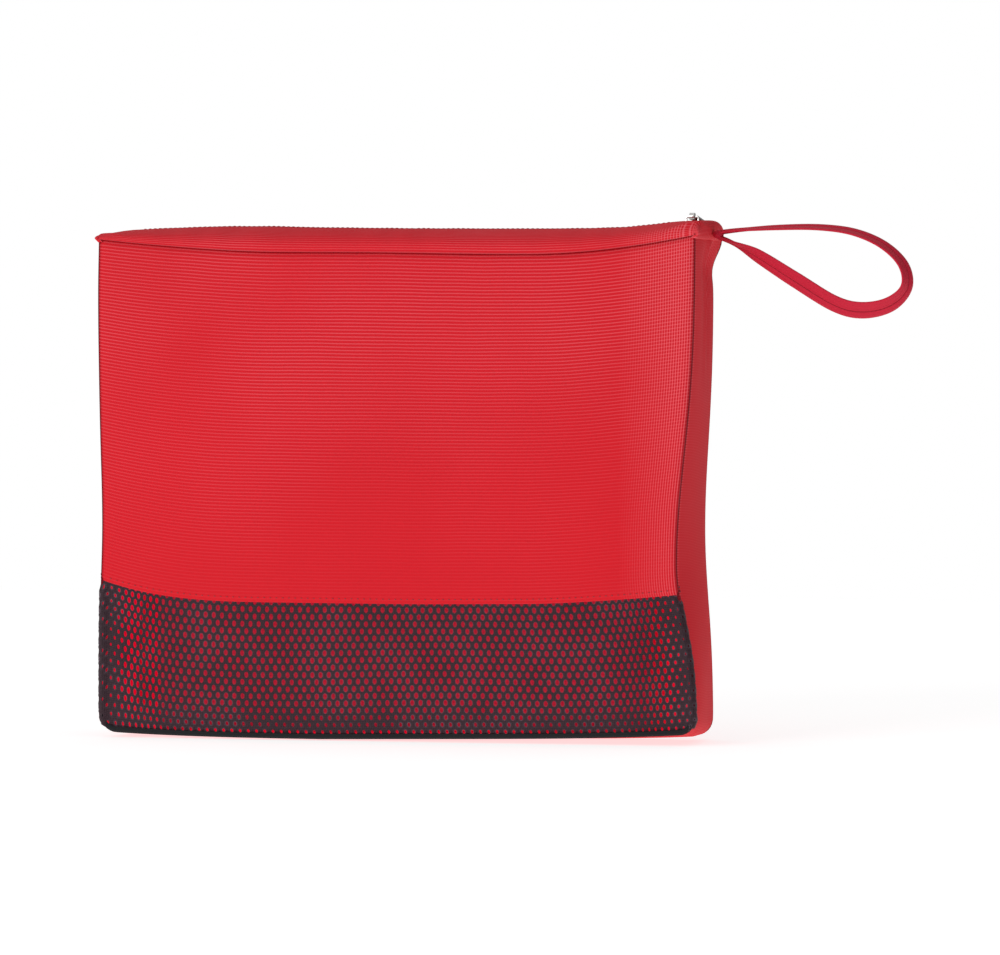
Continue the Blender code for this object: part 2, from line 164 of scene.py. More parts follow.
def thicken(obj: bpy.types.Object, wall: float, **settings: object) -> bpy.types.Object:
    """Gives a sheet its thickness inwards."""
    return modify(obj, "SOLIDIFY", thickness=wall, offset=-1.0, use_even_offset=False, **settings)


def box(name: str, size: Sequence[float]) -> bpy.types.Object:
    """A box about the origin."""
    bpy.ops.object.select_all(action="DESELECT")
    bpy.ops.mesh.primitive_cube_add(size=1.0)
    obj = named_new(name)
    with editing(obj):
        bpy.ops.transform.resize(value=size)
    return obj


def settle_transform(obj: bpy.types.Object) -> bpy.types.Object:
    """Puts an object's place, turn and size into its mesh."""
    pick(obj)
    bpy.ops.object.transform_apply(location=True, rotation=True, scale=True)
    return obj


def tidy_normals(obj: bpy.types.Object, merge: float = 0.00001) -> bpy.types.Object:
    """Merges doubles and turns every face outwards."""
    with editing(obj):
        bpy.ops.mesh.remove_doubles(threshold=merge)
        bpy.ops.mesh.normals_make_consistent(inside=False)
    return obj


def soften(obj: bpy.types.Object, degrees: float = 50.0) -> bpy.types.Object:
    """Shades a piece smooth, with its sharper edges kept."""
    pick(obj)
    bpy.ops.object.shade_smooth_by_angle(angle=math.radians(degrees))
    return obj


def coordinates(mesh: bpy.types.Mesh) -> np.ndarray:
    """A mesh's points as an array with a row for each."""
    points = np.empty(len(mesh.vertices) * 3)
    mesh.vertices.foreach_get("co", points)
    return points.reshape(-1, 3)


def set_coordinates(mesh: bpy.types.Mesh, points: np.ndarray) -> None:
    """Writes a mesh's points back from an array."""
    mesh.vertices.foreach_set("co", np.asarray(points, float).reshape(-1))
    mesh.update()


def remove_faces(obj: bpy.types.Object, chosen: Callable[[Vector], bool]) -> bpy.types.Object:
    """Cuts away the faces whose centres are chosen."""
    pick(obj)
    bpy.ops.object.mode_set(mode="EDIT")
    bpy.ops.mesh.select_mode(type="FACE")
    bpy.ops.mesh.select_all(action="DESELECT")
    bpy.ops.object.mode_set(mode="OBJECT")
    for face in obj.data.polygons:
        face.select = chosen(face.center)
    bpy.ops.object.mode_set(mode="EDIT")
    bpy.ops.mesh.delete(type="FACE")
    bpy.ops.mesh.select_mode(type="VERT")
    bpy.ops.object.mode_set(mode="OBJECT")
    return obj


def face_away_from(obj: bpy.types.Object, inside: Callable[[Vector], Vector]) -> bpy.types.Object:
    """Flips an open sheet where most of it looks inwards.

    Args:
        obj: The sheet.
        inside: Gives, for a face's centre, the point that the face should look away from.
    """
    total = sum(face.normal.dot(face.center - inside(face.center)) * face.area for face in obj.data.polygons)
    if total < 0:
        with editing(obj):
            bpy.ops.mesh.flip_normals()
    return obj


def metres(width: float, height: float) -> Measure:
    """The measure of a plain rectangle of cloth."""
    return lambda u, v: (u * width, v * height)


def sheet_of(
    name: str, columns: int, rows: int, place: Place, measure: Measure, sewn: str = ""
) -> bpy.types.Object:
    """A grid shaped into a piece of cloth, with its UV map in metres along the cloth.

    Args:
        name: The piece's name.
        columns: Squares along the cloth's first direction.
        rows: Squares along its second direction.
        place: Gives the point for two shares from 0 to 1.
        measure: Gives how far along the cloth those shares are, in metres.
        sewn: The seam edges that get painted shade: L and R for the first share's ends, B and T for the second's, and
        a small letter where the painted shade is fainter.

    Returns:
        The open sheet, one layer thick.
    """
    bpy.ops.object.select_all(action="DESELECT")
    bpy.ops.mesh.primitive_grid_add(x_subdivisions=columns, y_subdivisions=rows, size=1.0, calc_uvs=True)
    obj = named_new(name)
    shares = coordinates(obj.data)[:, :2] + 0.5
    lengths = [measure(*pair) for pair in shares]
    for loop, spot in zip(obj.data.loops, obj.data.uv_layers.active.data):
        spot.uv = lengths[loop.vertex_index]
    edges = {"L": shares[:, 0], "R": 1.0 - shares[:, 0], "B": shares[:, 1], "T": 1.0 - shares[:, 1]}
    # Marks the seam edges for painted shade: 1 along full seams, 0.6 where the painted shade is fainter.
    painted_seam_shade = np.zeros(len(shares))
    for side in sewn:
        painted_seam_shade[edges[side.upper()] < 1e-5] = 1.0 if side.isupper() else 0.6
    obj.data.attributes.new("seam", "FLOAT", "POINT").data.foreach_set("value", painted_seam_shade)
    set_coordinates(obj.data, np.array([place(*pair) for pair in shares]))
    return obj


def repeated(name: str, unit: bpy.types.Object, places: Sequence[Matrix]) -> bpy.types.Object:
    """One piece made of copies of a small closed shape, which is then removed.

    Args:
        name: The new piece's name.
        unit: The shape that is copied, modelled about the origin.
        places: Where each copy goes.
    """
    points = coordinates(unit.data)
    faces = [tuple(face.vertices) for face in unit.data.polygons]
    spots, sides = [], []
    for index, matrix in enumerate(places):
        turn = np.array(matrix.to_3x3())
        spots.append(points @ turn.T + np.array(matrix.translation))
        sides += [tuple(corner + index * len(points) for corner in face) for face in faces]
    mesh = bpy.data.meshes.new(name)
    mesh.from_pydata(np.concatenate(spots).tolist(), [], sides)
    mesh.update()
    bpy.data.objects.remove(unit, do_unlink=True)
    obj = bpy.data.objects.new(name, mesh)
    bpy.context.scene.collection.objects.link(obj)
    return soften(obj, 60.0)


def joined(name: str, pieces: Iterable[bpy.types.Object]) -> bpy.types.Object:
    """Joins closed shapes into one piece."""
    pieces = list(pieces)
    bpy.ops.object.select_all(action="DESELECT")
    for piece in pieces:
        piece.select_set(True)
    bpy.context.view_layer.objects.active = pieces[0]
    if len(pieces) > 1:
        bpy.ops.object.join()
    pieces[0].name = pieces[0].data.name = name
    return pick(pieces[0])


def thread_stitch(length: float, radius: float) -> bpy.types.Object:
    """One stitch lying along X: a low bead of thread that dives in at both ends."""
    bpy.ops.object.select_all(action="DESELECT")
    bpy.ops.mesh.primitive_uv_sphere_add(segments=6, ring_count=5, radius=1.0, rotation=(0, math.pi / 2, 0))
    obj = settle_transform(named_new("stitch"))
    points = coordinates(obj.data)
    reach = np.abs(points[:, 0])
    points[:, 2] -= 0.6 * reach**2
    set_coordinates(obj.data, points * np.array([length / 2, radius, radius]))
    return obj


def lined_wall(obj: bpy.types.Object, wall: float) -> bpy.types.Object:
    """Gives a sheet its thickness inwards, with its inner side set apart for the lining."""
    obj.data.materials.append(None)
    obj.data.materials.append(None)
    return thicken(obj, wall, material_offset=1)


def frame_along(point: Vector, along: Vector, out: Vector) -> Matrix:
    """A placing matrix with X along a seam and Z out of the cloth."""
    along = along.normalized()
    across = out.cross(along).normalized()
    turn = Matrix((along, across, along.cross(across))).transposed()
    return Matrix.Translation(point) @ turn.to_4x4()


def stitched_line(
    name: str, path: Callable[[float], Vector], out: Callable[[float], Vector], count: int, fill: float, radius: float
) -> bpy.types.Object:
    """A row of stitches along a path.

    Args:
        name: The piece's name.
        path: Gives the point at a share from 0 to 1 of the row.
        out: Gives the cloth's outward direction there.
        count: Number of stitches.
        fill: The share of each step that the thread shows for.
        radius: Half the thread's thickness.
    """
    step = (path(1.0) - path(0.0)).length / count
    places = []
    for index in range(count):
        share = (index + 0.5) / count
        ahead = path(min(share + 0.5 / count, 1.0)) - path(max(share - 0.5 / count, 0.0))
        places.append(frame_along(path(share), ahead, out(share)))
    return repeated(name, thread_stitch(step * fill, radius), places)


# ---------------------------------------------------------------------------------------------------------
# Shared shader groups
# ---------------------------------------------------------------------------------------------------------


class Nodes:
    """A short hand for wiring shader nodes in a tree."""

    def __init__(self, tree: bpy.types.NodeTree) -> None:
        """Keeps the tree that the nodes go into."""
        self.tree = tree

    def add(self, kind: str, inputs: dict[object, object] | None = None, **settings: object) -> bpy.types.Node:
        """Adds a node, sets its properties, and sets or links its inputs.

        Args:
            kind: Blender's node type without its ShaderNode prefix.
            inputs: A value or an output socket for each named or numbered input.
            settings: Values for the node's own properties.
        """
        node = self.tree.nodes.new(kind if kind.startswith("Node") else f"ShaderNode{kind}")
        for key, value in settings.items():
            setattr(node, key, value)
        for key, value in (inputs or {}).items():
            if isinstance(value, bpy.types.NodeSocket):
                self.tree.links.new(value, node.inputs[key])
            else:
                node.inputs[key].default_value = value
        return node

    def math(self, operation: str, *values: object) -> bpy.types.NodeSocket:
        """The result of a Math node."""
        return self.add("Math", dict(enumerate(values)), operation=operation).outputs[0]

    def blend(self, factor: object, first: object, second: object) -> bpy.types.NodeSocket:
        """The result of a colour Mix node."""
        node = self.add("Mix", {0: factor, 6: first, 7: second}, data_type="RGBA")
        return node.outputs[2]

    def noise(self, vector: bpy.types.NodeSocket, scale: object, detail: float = 2.0) -> bpy.types.NodeSocket:
        """The strength of a noise, from 0 to 1."""
        return self.add("TexNoise", {"Vector": vector, "Scale": scale, "Detail": detail}).outputs["Fac"]

    def ramp(self, value: object, low: float, high: float, first: float, last: float) -> bpy.types.NodeSocket:
        """Goes from first to last while a value goes from low to high."""
        return self.add("MapRange", {0: value, 1: low, 2: high, 3: first, 4: last}).outputs[0]

    def attribute(self, name: str) -> bpy.types.NodeSocket:
        """A value that a sheet's points carry."""
        return self.add("Attribute", attribute_name=name).outputs["Fac"]


def new_group(name: str, inputs: dict[str, tuple[str, object]], outputs: dict[str, str]) -> tuple:
    """An empty node group with named sockets.

    Args:
        name: The group's name.
        inputs: The socket type and first value of each input.
        outputs: The socket type of each output.

    Returns:
        The tree, its wiring hand, the group's input node and its output node.
    """
    tree = bpy.data.node_groups.new(name, "ShaderNodeTree")
    for key, (kind, value) in inputs.items():
        socket = tree.interface.new_socket(key, in_out="INPUT", socket_type=f"NodeSocket{kind}")
        if value is not None:
            socket.default_value = value
    for key, kind in outputs.items():
        tree.interface.new_socket(key, in_out="OUTPUT", socket_type=f"NodeSocket{kind}")
    hand = Nodes(tree)
    return tree, hand, hand.add("NodeGroupInput"), hand.add("NodeGroupOutput")


def ribbed_weave_group() -> bpy.types.NodeTree:
    """Ribs across the cloth and finer cords along it, each as a height and as a mask of their crests."""
    tree, hand, given, out = new_group(
        "ribbed weave",
        {
            "Vector": ("Vector", None),
            "Rib Pitch": ("Float", 0.0017),
            "Cord Pitch": ("Float", 0.0013),
            "Waver": ("Float", 0.0002),
        },
        {"Ribs": "Float", "Cords": "Float", "Height": "Float"},
    )
    drift = hand.noise(given.outputs["Vector"], 28.0)
    waver = hand.math("MULTIPLY", hand.math("SUBTRACT", drift, 0.5), given.outputs["Waver"])
    split = hand.add("SeparateXYZ", {0: given.outputs["Vector"]})
    crests = []
    for axis, pitch in (("Y", "Rib Pitch"), ("X", "Cord Pitch")):
        turned = hand.math("DIVIDE", hand.math("ADD", split.outputs[axis], waver), given.outputs[pitch])
        wave = hand.math("SINE", hand.math("MULTIPLY", turned, 2 * math.pi))
        crests.append(hand.math("MULTIPLY_ADD", wave, 0.5, 0.5))
    ribs, cords = (hand.math("POWER", crest, 4.0) for crest in crests)
    height = hand.math("MAXIMUM", crests[0], hand.math("MULTIPLY", crests[1], 0.75))
    for key, value in (("Ribs", ribs), ("Cords", cords), ("Height", height)):
        tree.links.new(value, out.inputs[key])
    return tree


def patchy_tone_group() -> bpy.types.NodeTree:
    """Two mixed noises, broad and fine, which lighten and darken a colour and roughen a finish a little."""
    tree, hand, given, out = new_group(
        "patchy tone",
        {
            "Vector": ("Vector", None),
            "Colour": ("Color", (0.5, 0.5, 0.5, 1.0)),
            "Broad Scale": ("Float", 14.0),
            "Fine Scale": ("Float", 900.0),
            "Amount": ("Float", 0.12),
        },
        {"Colour": "Color", "Mask": "Float"},
    )
    where = given.outputs["Vector"]
    broad = hand.noise(where, given.outputs["Broad Scale"], 3.0)
    fine = hand.noise(where, given.outputs["Fine Scale"])
    both = hand.math("MULTIPLY_ADD", fine, 0.45, hand.math("MULTIPLY", broad, 0.55))
    spread = hand.math("MULTIPLY", hand.math("SUBTRACT", both, 0.5), given.outputs["Amount"])
    value = hand.math("ADD", hand.math("MULTIPLY", spread, 4.0), 1.0)
    toned = hand.add("HueSaturation", {"Value": value, "Color": given.outputs["Colour"]})
    tree.links.new(toned.outputs["Color"], out.inputs["Colour"])
    tree.links.new(both, out.inputs["Mask"])
    return tree


def plain_weave_group() -> bpy.types.NodeTree:
    """Over-and-under threads of a plain woven tape or cloth, as a height and a mask of the gaps between them."""
    tree, hand, given, out = new_group(
        "plain weave",
        {"Vector": ("Vector", None), "Pitch": ("Float", 0.0006)},
        {"Height": "Float", "Gaps": "Float"},
    )
    split = hand.add("SeparateXYZ", {0: given.outputs["Vector"]})
    along = hand.math("DIVIDE", split.outputs["X"], given.outputs["Pitch"])
    across = hand.math("DIVIDE", split.outputs["Y"], given.outputs["Pitch"])
    warp = hand.math("ABSOLUTE", hand.math("SINE", hand.math("MULTIPLY", along, math.pi)))
    weft = hand.math("ABSOLUTE", hand.math("SINE", hand.math("MULTIPLY", across, math.pi)))
    parity = hand.math("ADD", hand.math("FLOOR", along), hand.math("FLOOR", across))
    over = hand.math("PINGPONG", parity, 1.0)
    height = hand.math(
        "ADD", hand.math("MULTIPLY", over, warp), hand.math("MULTIPLY", hand.math("SUBTRACT", 1.0, over), weft)
    )
    gaps = hand.math("SUBTRACT", 1.0, hand.math("MULTIPLY", warp, weft))
    tree.links.new(height, out.inputs["Height"])
    tree.links.new(gaps, out.inputs["Gaps"])
    return tree


@dataclass(frozen=True)
class ShaderGroups:
    """The node groups that the finishes share, built once."""

    ribs: bpy.types.NodeTree = field(default_factory=ribbed_weave_group)
    tone: bpy.types.NodeTree = field(default_factory=patchy_tone_group)
    weave: bpy.types.NodeTree = field(default_factory=plain_weave_group)


# ---------------------------------------------------------------------------------------------------------
# Finishes
# ---------------------------------------------------------------------------------------------------------


class Bench:
    """One material being made: its tree, its Principled shader and the cloth or object coordinates."""

    def __init__(self, name: str) -> None:
        """Starts a material with its shader and coordinates."""
        self.material = bpy.data.materials.new(name)
        self.material.use_nodes = True
        self.hand = Nodes(self.material.node_tree)
        self.shader = self.material.node_tree.nodes["Principled BSDF"]
        self.coordinates = self.hand.add("TexCoord")

    @property
    def cloth(self) -> bpy.types.NodeSocket:
        """Coordinates along the cloth, in metres."""
        return self.coordinates.outputs["UV"]

    @property
    def solid(self) -> bpy.types.NodeSocket:
        """Coordinates in the pouch's own space, in metres."""
        return self.coordinates.outputs["Object"]

    def group(self, tree: bpy.types.NodeTree, vector: bpy.types.NodeSocket, **values: object) -> bpy.types.Node:
        """Places a shared group with its own values, whose names have underscores for spaces."""
        node = self.hand.add("Group", node_tree=tree)
        self.material.node_tree.links.new(vector, node.inputs["Vector"])
        for key, value in values.items():
            socket = node.inputs[key.replace("_", " ")]
            if isinstance(value, bpy.types.NodeSocket):
                self.material.node_tree.links.new(value, socket)
            else:
                socket.default_value = value
        return node

    def link(self, socket: bpy.types.NodeSocket, name: str) -> None:
        """Feeds one of the shader's inputs."""
        self.material.node_tree.links.new(socket, self.shader.inputs[name])

    def fix(self, **values: float) -> None:
        """Sets plain values on the shader's own sockets, whose names have underscores for spaces."""
        for key, value in values.items():
            self.shader.inputs[key.replace("_", " ")].default_value = value

    def bump(self, height: bpy.types.NodeSocket, distance: float, strength: float = 1.0) -> None:
        """Feeds the shader's normal from a height."""
        node = self.hand.add("Bump", {"Height": height, "Distance": distance, "Strength": strength})
        self.link(node.outputs["Normal"], "Normal")


@dataclass(frozen=True)
class RibbedShellCloth:
    """Coated polyester with woven ribs; painted highlights light their crests and those of the cross cords near the
    right side seam, and painted shade darkens the seams.
    """

    groups: ShaderGroups
    name: str = "ribbed shell cloth"
    colour: Colour = (0.680, 0.014, 0.024, 1.0)
    # Painted highlight colour for the crests of the ribs and cords, and painted shade colour for the seams.
    crest: Colour = (0.920, 0.160, 0.190, 1.0)
    seam_shade: Colour = (0.070, 0.003, 0.006, 1.0)
    rib_pitch: float = 0.0017
    cord_pitch: float = 0.0013
    cord_start: float = 0.116
    cord_full: float = 0.146
    cord_strength: float = 0.72

    def material(self) -> bpy.types.Material:
        """Builds the finish."""
        bench = Bench(self.name)
        hand = bench.hand
        tone = bench.group(self.groups.tone, bench.solid, Colour=self.colour, Amount=0.05, Broad_Scale=9.0)
        ribs = bench.group(
            self.groups.ribs, bench.cloth, Rib_Pitch=self.rib_pitch, Cord_Pitch=self.cord_pitch, Waver=0.0009
        )
        # Painted highlights: the ribs' crests in patches and more towards the top, the cords' crests towards the right
        # end of the front.
        patches = hand.ramp(hand.noise(bench.solid, 11.0), 0.35, 0.68, 0.24, 0.58)
        where = hand.add("SeparateXYZ", {0: bench.solid}).outputs
        cord_highlight_reach = hand.ramp(where["X"], self.cord_start, self.cord_full, 0.0, self.cord_strength)
        rise = hand.ramp(where["Z"], 0.085, 0.200, 0.22, 1.0)
        front = hand.ramp(where["Y"], -0.0290, -0.0255, 1.0, 0.12)
        rib_highlight = hand.math("MULTIPLY", hand.math("MULTIPLY", ribs.outputs["Ribs"], patches), rise)
        cord_highlight = hand.math("MULTIPLY", hand.math("MULTIPLY", ribs.outputs["Cords"], cord_highlight_reach), front)
        crests = hand.math("MINIMUM", hand.math("ADD", rib_highlight, cord_highlight), 0.8)
        cloth = hand.blend(crests, tone.outputs["Colour"], self.crest)
        # Painted shade darkens the cloth along its seams.
        painted_seam_shade = hand.math("MULTIPLY", hand.math("POWER", hand.attribute("seam"), 1.6), 0.9)
        bench.link(hand.blend(painted_seam_shade, cloth, self.seam_shade), "Base Color")
        height = hand.math("MULTIPLY_ADD", hand.noise(bench.cloth, 2600.0), 0.25, ribs.outputs["Height"])
        bench.bump(height, 0.00007, 0.75)
        rough = hand.math("MULTIPLY_ADD", tone.outputs["Mask"], 0.22, 0.52)
        bench.link(rough, "Roughness")
        bench.fix(Specular_IOR_Level=0.06)
        return bench.material


@dataclass(frozen=True)
class PouchLining:
    """The smooth coated inside of the shell cloth, with a painted warm red glow that stands in for light inside the
    pouch.
    """

    groups: ShaderGroups
    name: str = "pouch lining"
    colour: Colour = (0.860, 0.006, 0.060, 1.0)
    glow: float = 0.27

    def material(self) -> bpy.types.Material:
        """Builds the finish."""
        bench = Bench(self.name)
        hand = bench.hand
        tone = bench.group(self.groups.tone, bench.solid, Colour=self.colour, Amount=0.08, Broad_Scale=18.0)
        weave = bench.group(self.groups.weave, bench.cloth, Pitch=0.0008)
        bench.link(tone.outputs["Colour"], "Base Color")
        # Painted glow: the cloth gives out its own colour as light, though it is no lamp.
        bench.link(tone.outputs["Colour"], "Emission Color")
        bench.link(hand.math("MULTIPLY_ADD", tone.outputs["Mask"], 0.2, 0.5), "Roughness")
        bench.bump(weave.outputs["Height"], 0.00004)
        bench.fix(Specular_IOR_Level=0.2, Emission_Strength=self.glow)
        return bench.material


@dataclass(frozen=True)
class PlainCloth:
    """A plain woven cloth or tape of one colour, with a soft sheen, painted shade in its weave's gaps and along seams
    and grooves, and a painted glow where one is given.
    """

    groups: ShaderGroups
    name: str
    colour: Colour
    pitch: float
    depth: float = 0.00006
    roughness: float = 0.62
    sheen: float = 0.15
    specular: float = 0.3
    gap_shade: float = 0.45
    glow: float = 0.0

    def material(self) -> bpy.types.Material:
        """Builds the finish."""
        bench = Bench(self.name)
        hand = bench.hand
        tone = bench.group(self.groups.tone, bench.solid, Colour=self.colour, Amount=0.10, Broad_Scale=22.0)
        weave = bench.group(self.groups.weave, bench.cloth, Pitch=self.pitch)
        # Painted shade in the gaps between the threads.
        dark = tuple(part * self.gap_shade for part in self.colour[:3]) + (1.0,)
        gaps = hand.math("POWER", weave.outputs["Gaps"], 3.0)
        # Painted shade, far darker than the cloth, along seams and grooves.
        painted_seam_shade = hand.math("MULTIPLY", hand.attribute("seam"), 0.8)
        deep = tuple(part * 0.12 for part in self.colour[:3]) + (1.0,)
        cloth = hand.blend(gaps, tone.outputs["Colour"], dark)
        bench.link(hand.blend(painted_seam_shade, cloth, deep), "Base Color")
        bench.link(hand.math("MULTIPLY_ADD", tone.outputs["Mask"], 0.2, self.roughness - 0.1), "Roughness")
        bench.bump(weave.outputs["Height"], self.depth)
        bench.fix(Specular_IOR_Level=self.specular, Sheen_Weight=self.sheen, Sheen_Roughness=0.35)
        # Painted glow, though the cloth is no lamp.
        if self.glow:
            bench.link(tone.outputs["Colour"], "Emission Color")
            bench.fix(Emission_Strength=self.glow)
        return bench.material


@dataclass(frozen=True)
class NetYarn:
    """Knitted plum-black yarn: fine loops along the net with painted highlights on their crests, and a painted cool
    sheen on the holes' edges, in patches.
    """

    groups: ShaderGroups
    name: str = "knitted net yarn"
    colour: Colour = (0.022, 0.007, 0.012, 1.0)
    # The light colour is a painted highlight on the loops' crests; the edge colour is a painted sheen on the holes'
    # edges.
    light: Colour = (0.066, 0.032, 0.046, 1.0)
    edge: Colour = (0.150, 0.100, 0.135, 1.0)
    loop_pitch: float = 0.00092

    def material(self) -> bpy.types.Material:
        """Builds the finish."""
        bench = Bench(self.name)
        hand = bench.hand
        tone = bench.group(self.groups.tone, bench.solid, Colour=self.colour, Amount=0.22, Broad_Scale=40.0)
        weave = bench.group(self.groups.weave, bench.cloth, Pitch=self.loop_pitch)
        # Painted highlight on the crests of the loops.
        crest = hand.math("POWER", weave.outputs["Height"], 4.0)
        yarn = hand.blend(hand.math("MULTIPLY", crest, 0.6), tone.outputs["Colour"], self.light)
        # Painted sheen on the holes' edges, shown in patches.
        rim = hand.math("POWER", hand.attribute("hole_edge"), 4.0)
        sheen_patches = hand.ramp(hand.noise(bench.solid, 45.0), 0.40, 0.62, 0.05, 0.80)
        rim_sheen = hand.math("MULTIPLY", rim, sheen_patches)
        bench.link(hand.blend(rim_sheen, yarn, self.edge), "Base Color")
        bench.link(hand.math("MULTIPLY_ADD", tone.outputs["Mask"], 0.25, 0.42), "Roughness")
        bench.bump(weave.outputs["Height"], 0.00012)
        bench.fix(Specular_IOR_Level=0.25, Sheen_Weight=0.08, Sheen_Roughness=0.3)
        return bench.material


@dataclass(frozen=True)
class CoilNylon:
    """Black nylon of the zip's coil, satin and slightly rubbed."""

    groups: ShaderGroups
    name: str = "black coil nylon"
    colour: Colour = (0.013, 0.013, 0.015, 1.0)

    def material(self) -> bpy.types.Material:
        """Builds the finish."""
        bench = Bench(self.name)
        hand = bench.hand
        tone = bench.group(self.groups.tone, bench.solid, Colour=self.colour, Amount=0.2, Broad_Scale=120.0)
        bench.link(tone.outputs["Colour"], "Base Color")
        bench.link(hand.math("MULTIPLY_ADD", tone.outputs["Mask"], 0.3, 0.18), "Roughness")
        bench.bump(tone.outputs["Mask"], 0.00002)
        bench.fix(Specular_IOR_Level=0.55)
        return bench.material


@dataclass(frozen=True)
class NickelCasting:
    """A small nickel-plated casting: bright, faintly clouded, duller where it is rubbed."""

    groups: ShaderGroups
    name: str = "nickel casting"
    colour: Colour = (0.78, 0.77, 0.75, 1.0)

    def material(self) -> bpy.types.Material:
        """Builds the finish."""
        bench = Bench(self.name)
        hand = bench.hand
        tone = bench.group(
            self.groups.tone, bench.solid, Colour=self.colour, Amount=0.07, Broad_Scale=260.0, Fine_Scale=3200.0
        )
        bench.link(tone.outputs["Colour"], "Base Color")
        bench.link(hand.math("MULTIPLY_ADD", tone.outputs["Mask"], 0.30, 0.08), "Roughness")
        bench.bump(tone.outputs["Mask"], 0.00003)
        bench.fix(Metallic=1.0)
        return bench.material


@dataclass(frozen=True)
class Finishes:
    """Every finish of the object, each made once."""

    shell: bpy.types.Material
    lining: bpy.types.Material
    seam_tape: bpy.types.Material
    net: bpy.types.Material
    tape: bpy.types.Material
    coil: bpy.types.Material
    metal: bpy.types.Material
    strap: bpy.types.Material
    blanket: bpy.types.Material
    red_thread: bpy.types.Material
    black_thread: bpy.types.Material

    @classmethod
    def make(cls) -> "Finishes":
        """Builds the shared groups and then the finishes."""
        groups = ShaderGroups()
        return cls(
            shell=RibbedShellCloth(groups).material(),
            lining=PouchLining(groups).material(),
            # The seam tape's glow is painted light that brightens it inside the pouch.
            seam_tape=PlainCloth(groups, "seam tape cloth", (0.800, 0.008, 0.050, 1.0), 0.0008, glow=0.22).material(),
            net=NetYarn(groups).material(),
            tape=PlainCloth(
                groups, "black woven tape", (0.010, 0.011, 0.013, 1.0), 0.00075, specular=0.2, sheen=0.04
            ).material(),
            coil=CoilNylon(groups).material(),
            metal=NickelCasting(groups).material(),
            strap=PlainCloth(
                groups,
                "strap cloth",
                (0.610, 0.020, 0.048, 1.0),
                pitch=0.0007,
                depth=0.00003,
                specular=0.12,
                sheen=0.03,
                gap_shade=0.9,
            ).material(),
            # The blanket's glow is painted light that brightens it behind the net.
            blanket=PlainCloth(
                groups,
                "coated glass cloth",
                (0.760, 0.008, 0.042, 1.0),
                pitch=0.0011,
                depth=0.00010,
                roughness=0.48,
                gap_shade=0.8,
                glow=0.27,
            ).material(),
            red_thread=PlainCloth(groups, "red thread", (0.740, 0.060, 0.080, 1.0), 0.0003, 0.00003).material(),
            black_thread=PlainCloth(groups, "black thread", (0.025, 0.025, 0.028, 1.0), 0.0003, 0.00003).material(),
        )


# ---------------------------------------------------------------------------------------------------------
# The pouch's sagged form, which every sewn piece follows
# ---------------------------------------------------------------------------------------------------------


@dataclass(frozen=True)
class Waist:
    """A stretch where the side pulls in: how high it is, how deep, and how far it reaches down and up."""

    height: float
    depth: float
    below: float
    above: float

    def at(self, z: float) -> float:
        """The depth at a height."""
        return self.depth * bump_at(z, self.height, self.above if z > self.height else self.below)


@dataclass(frozen=True)
class Climb:
    """How an edge of the cloth climbs towards one end: where it starts, over what run, how high and how late."""

    start: float
    run: float
    height: float
    power: float

    def at(self, x: float) -> float:
        """The climb at a distance from the middle."""
        return self.height * max(0.0, (x - self.start) / self.run) ** self.power


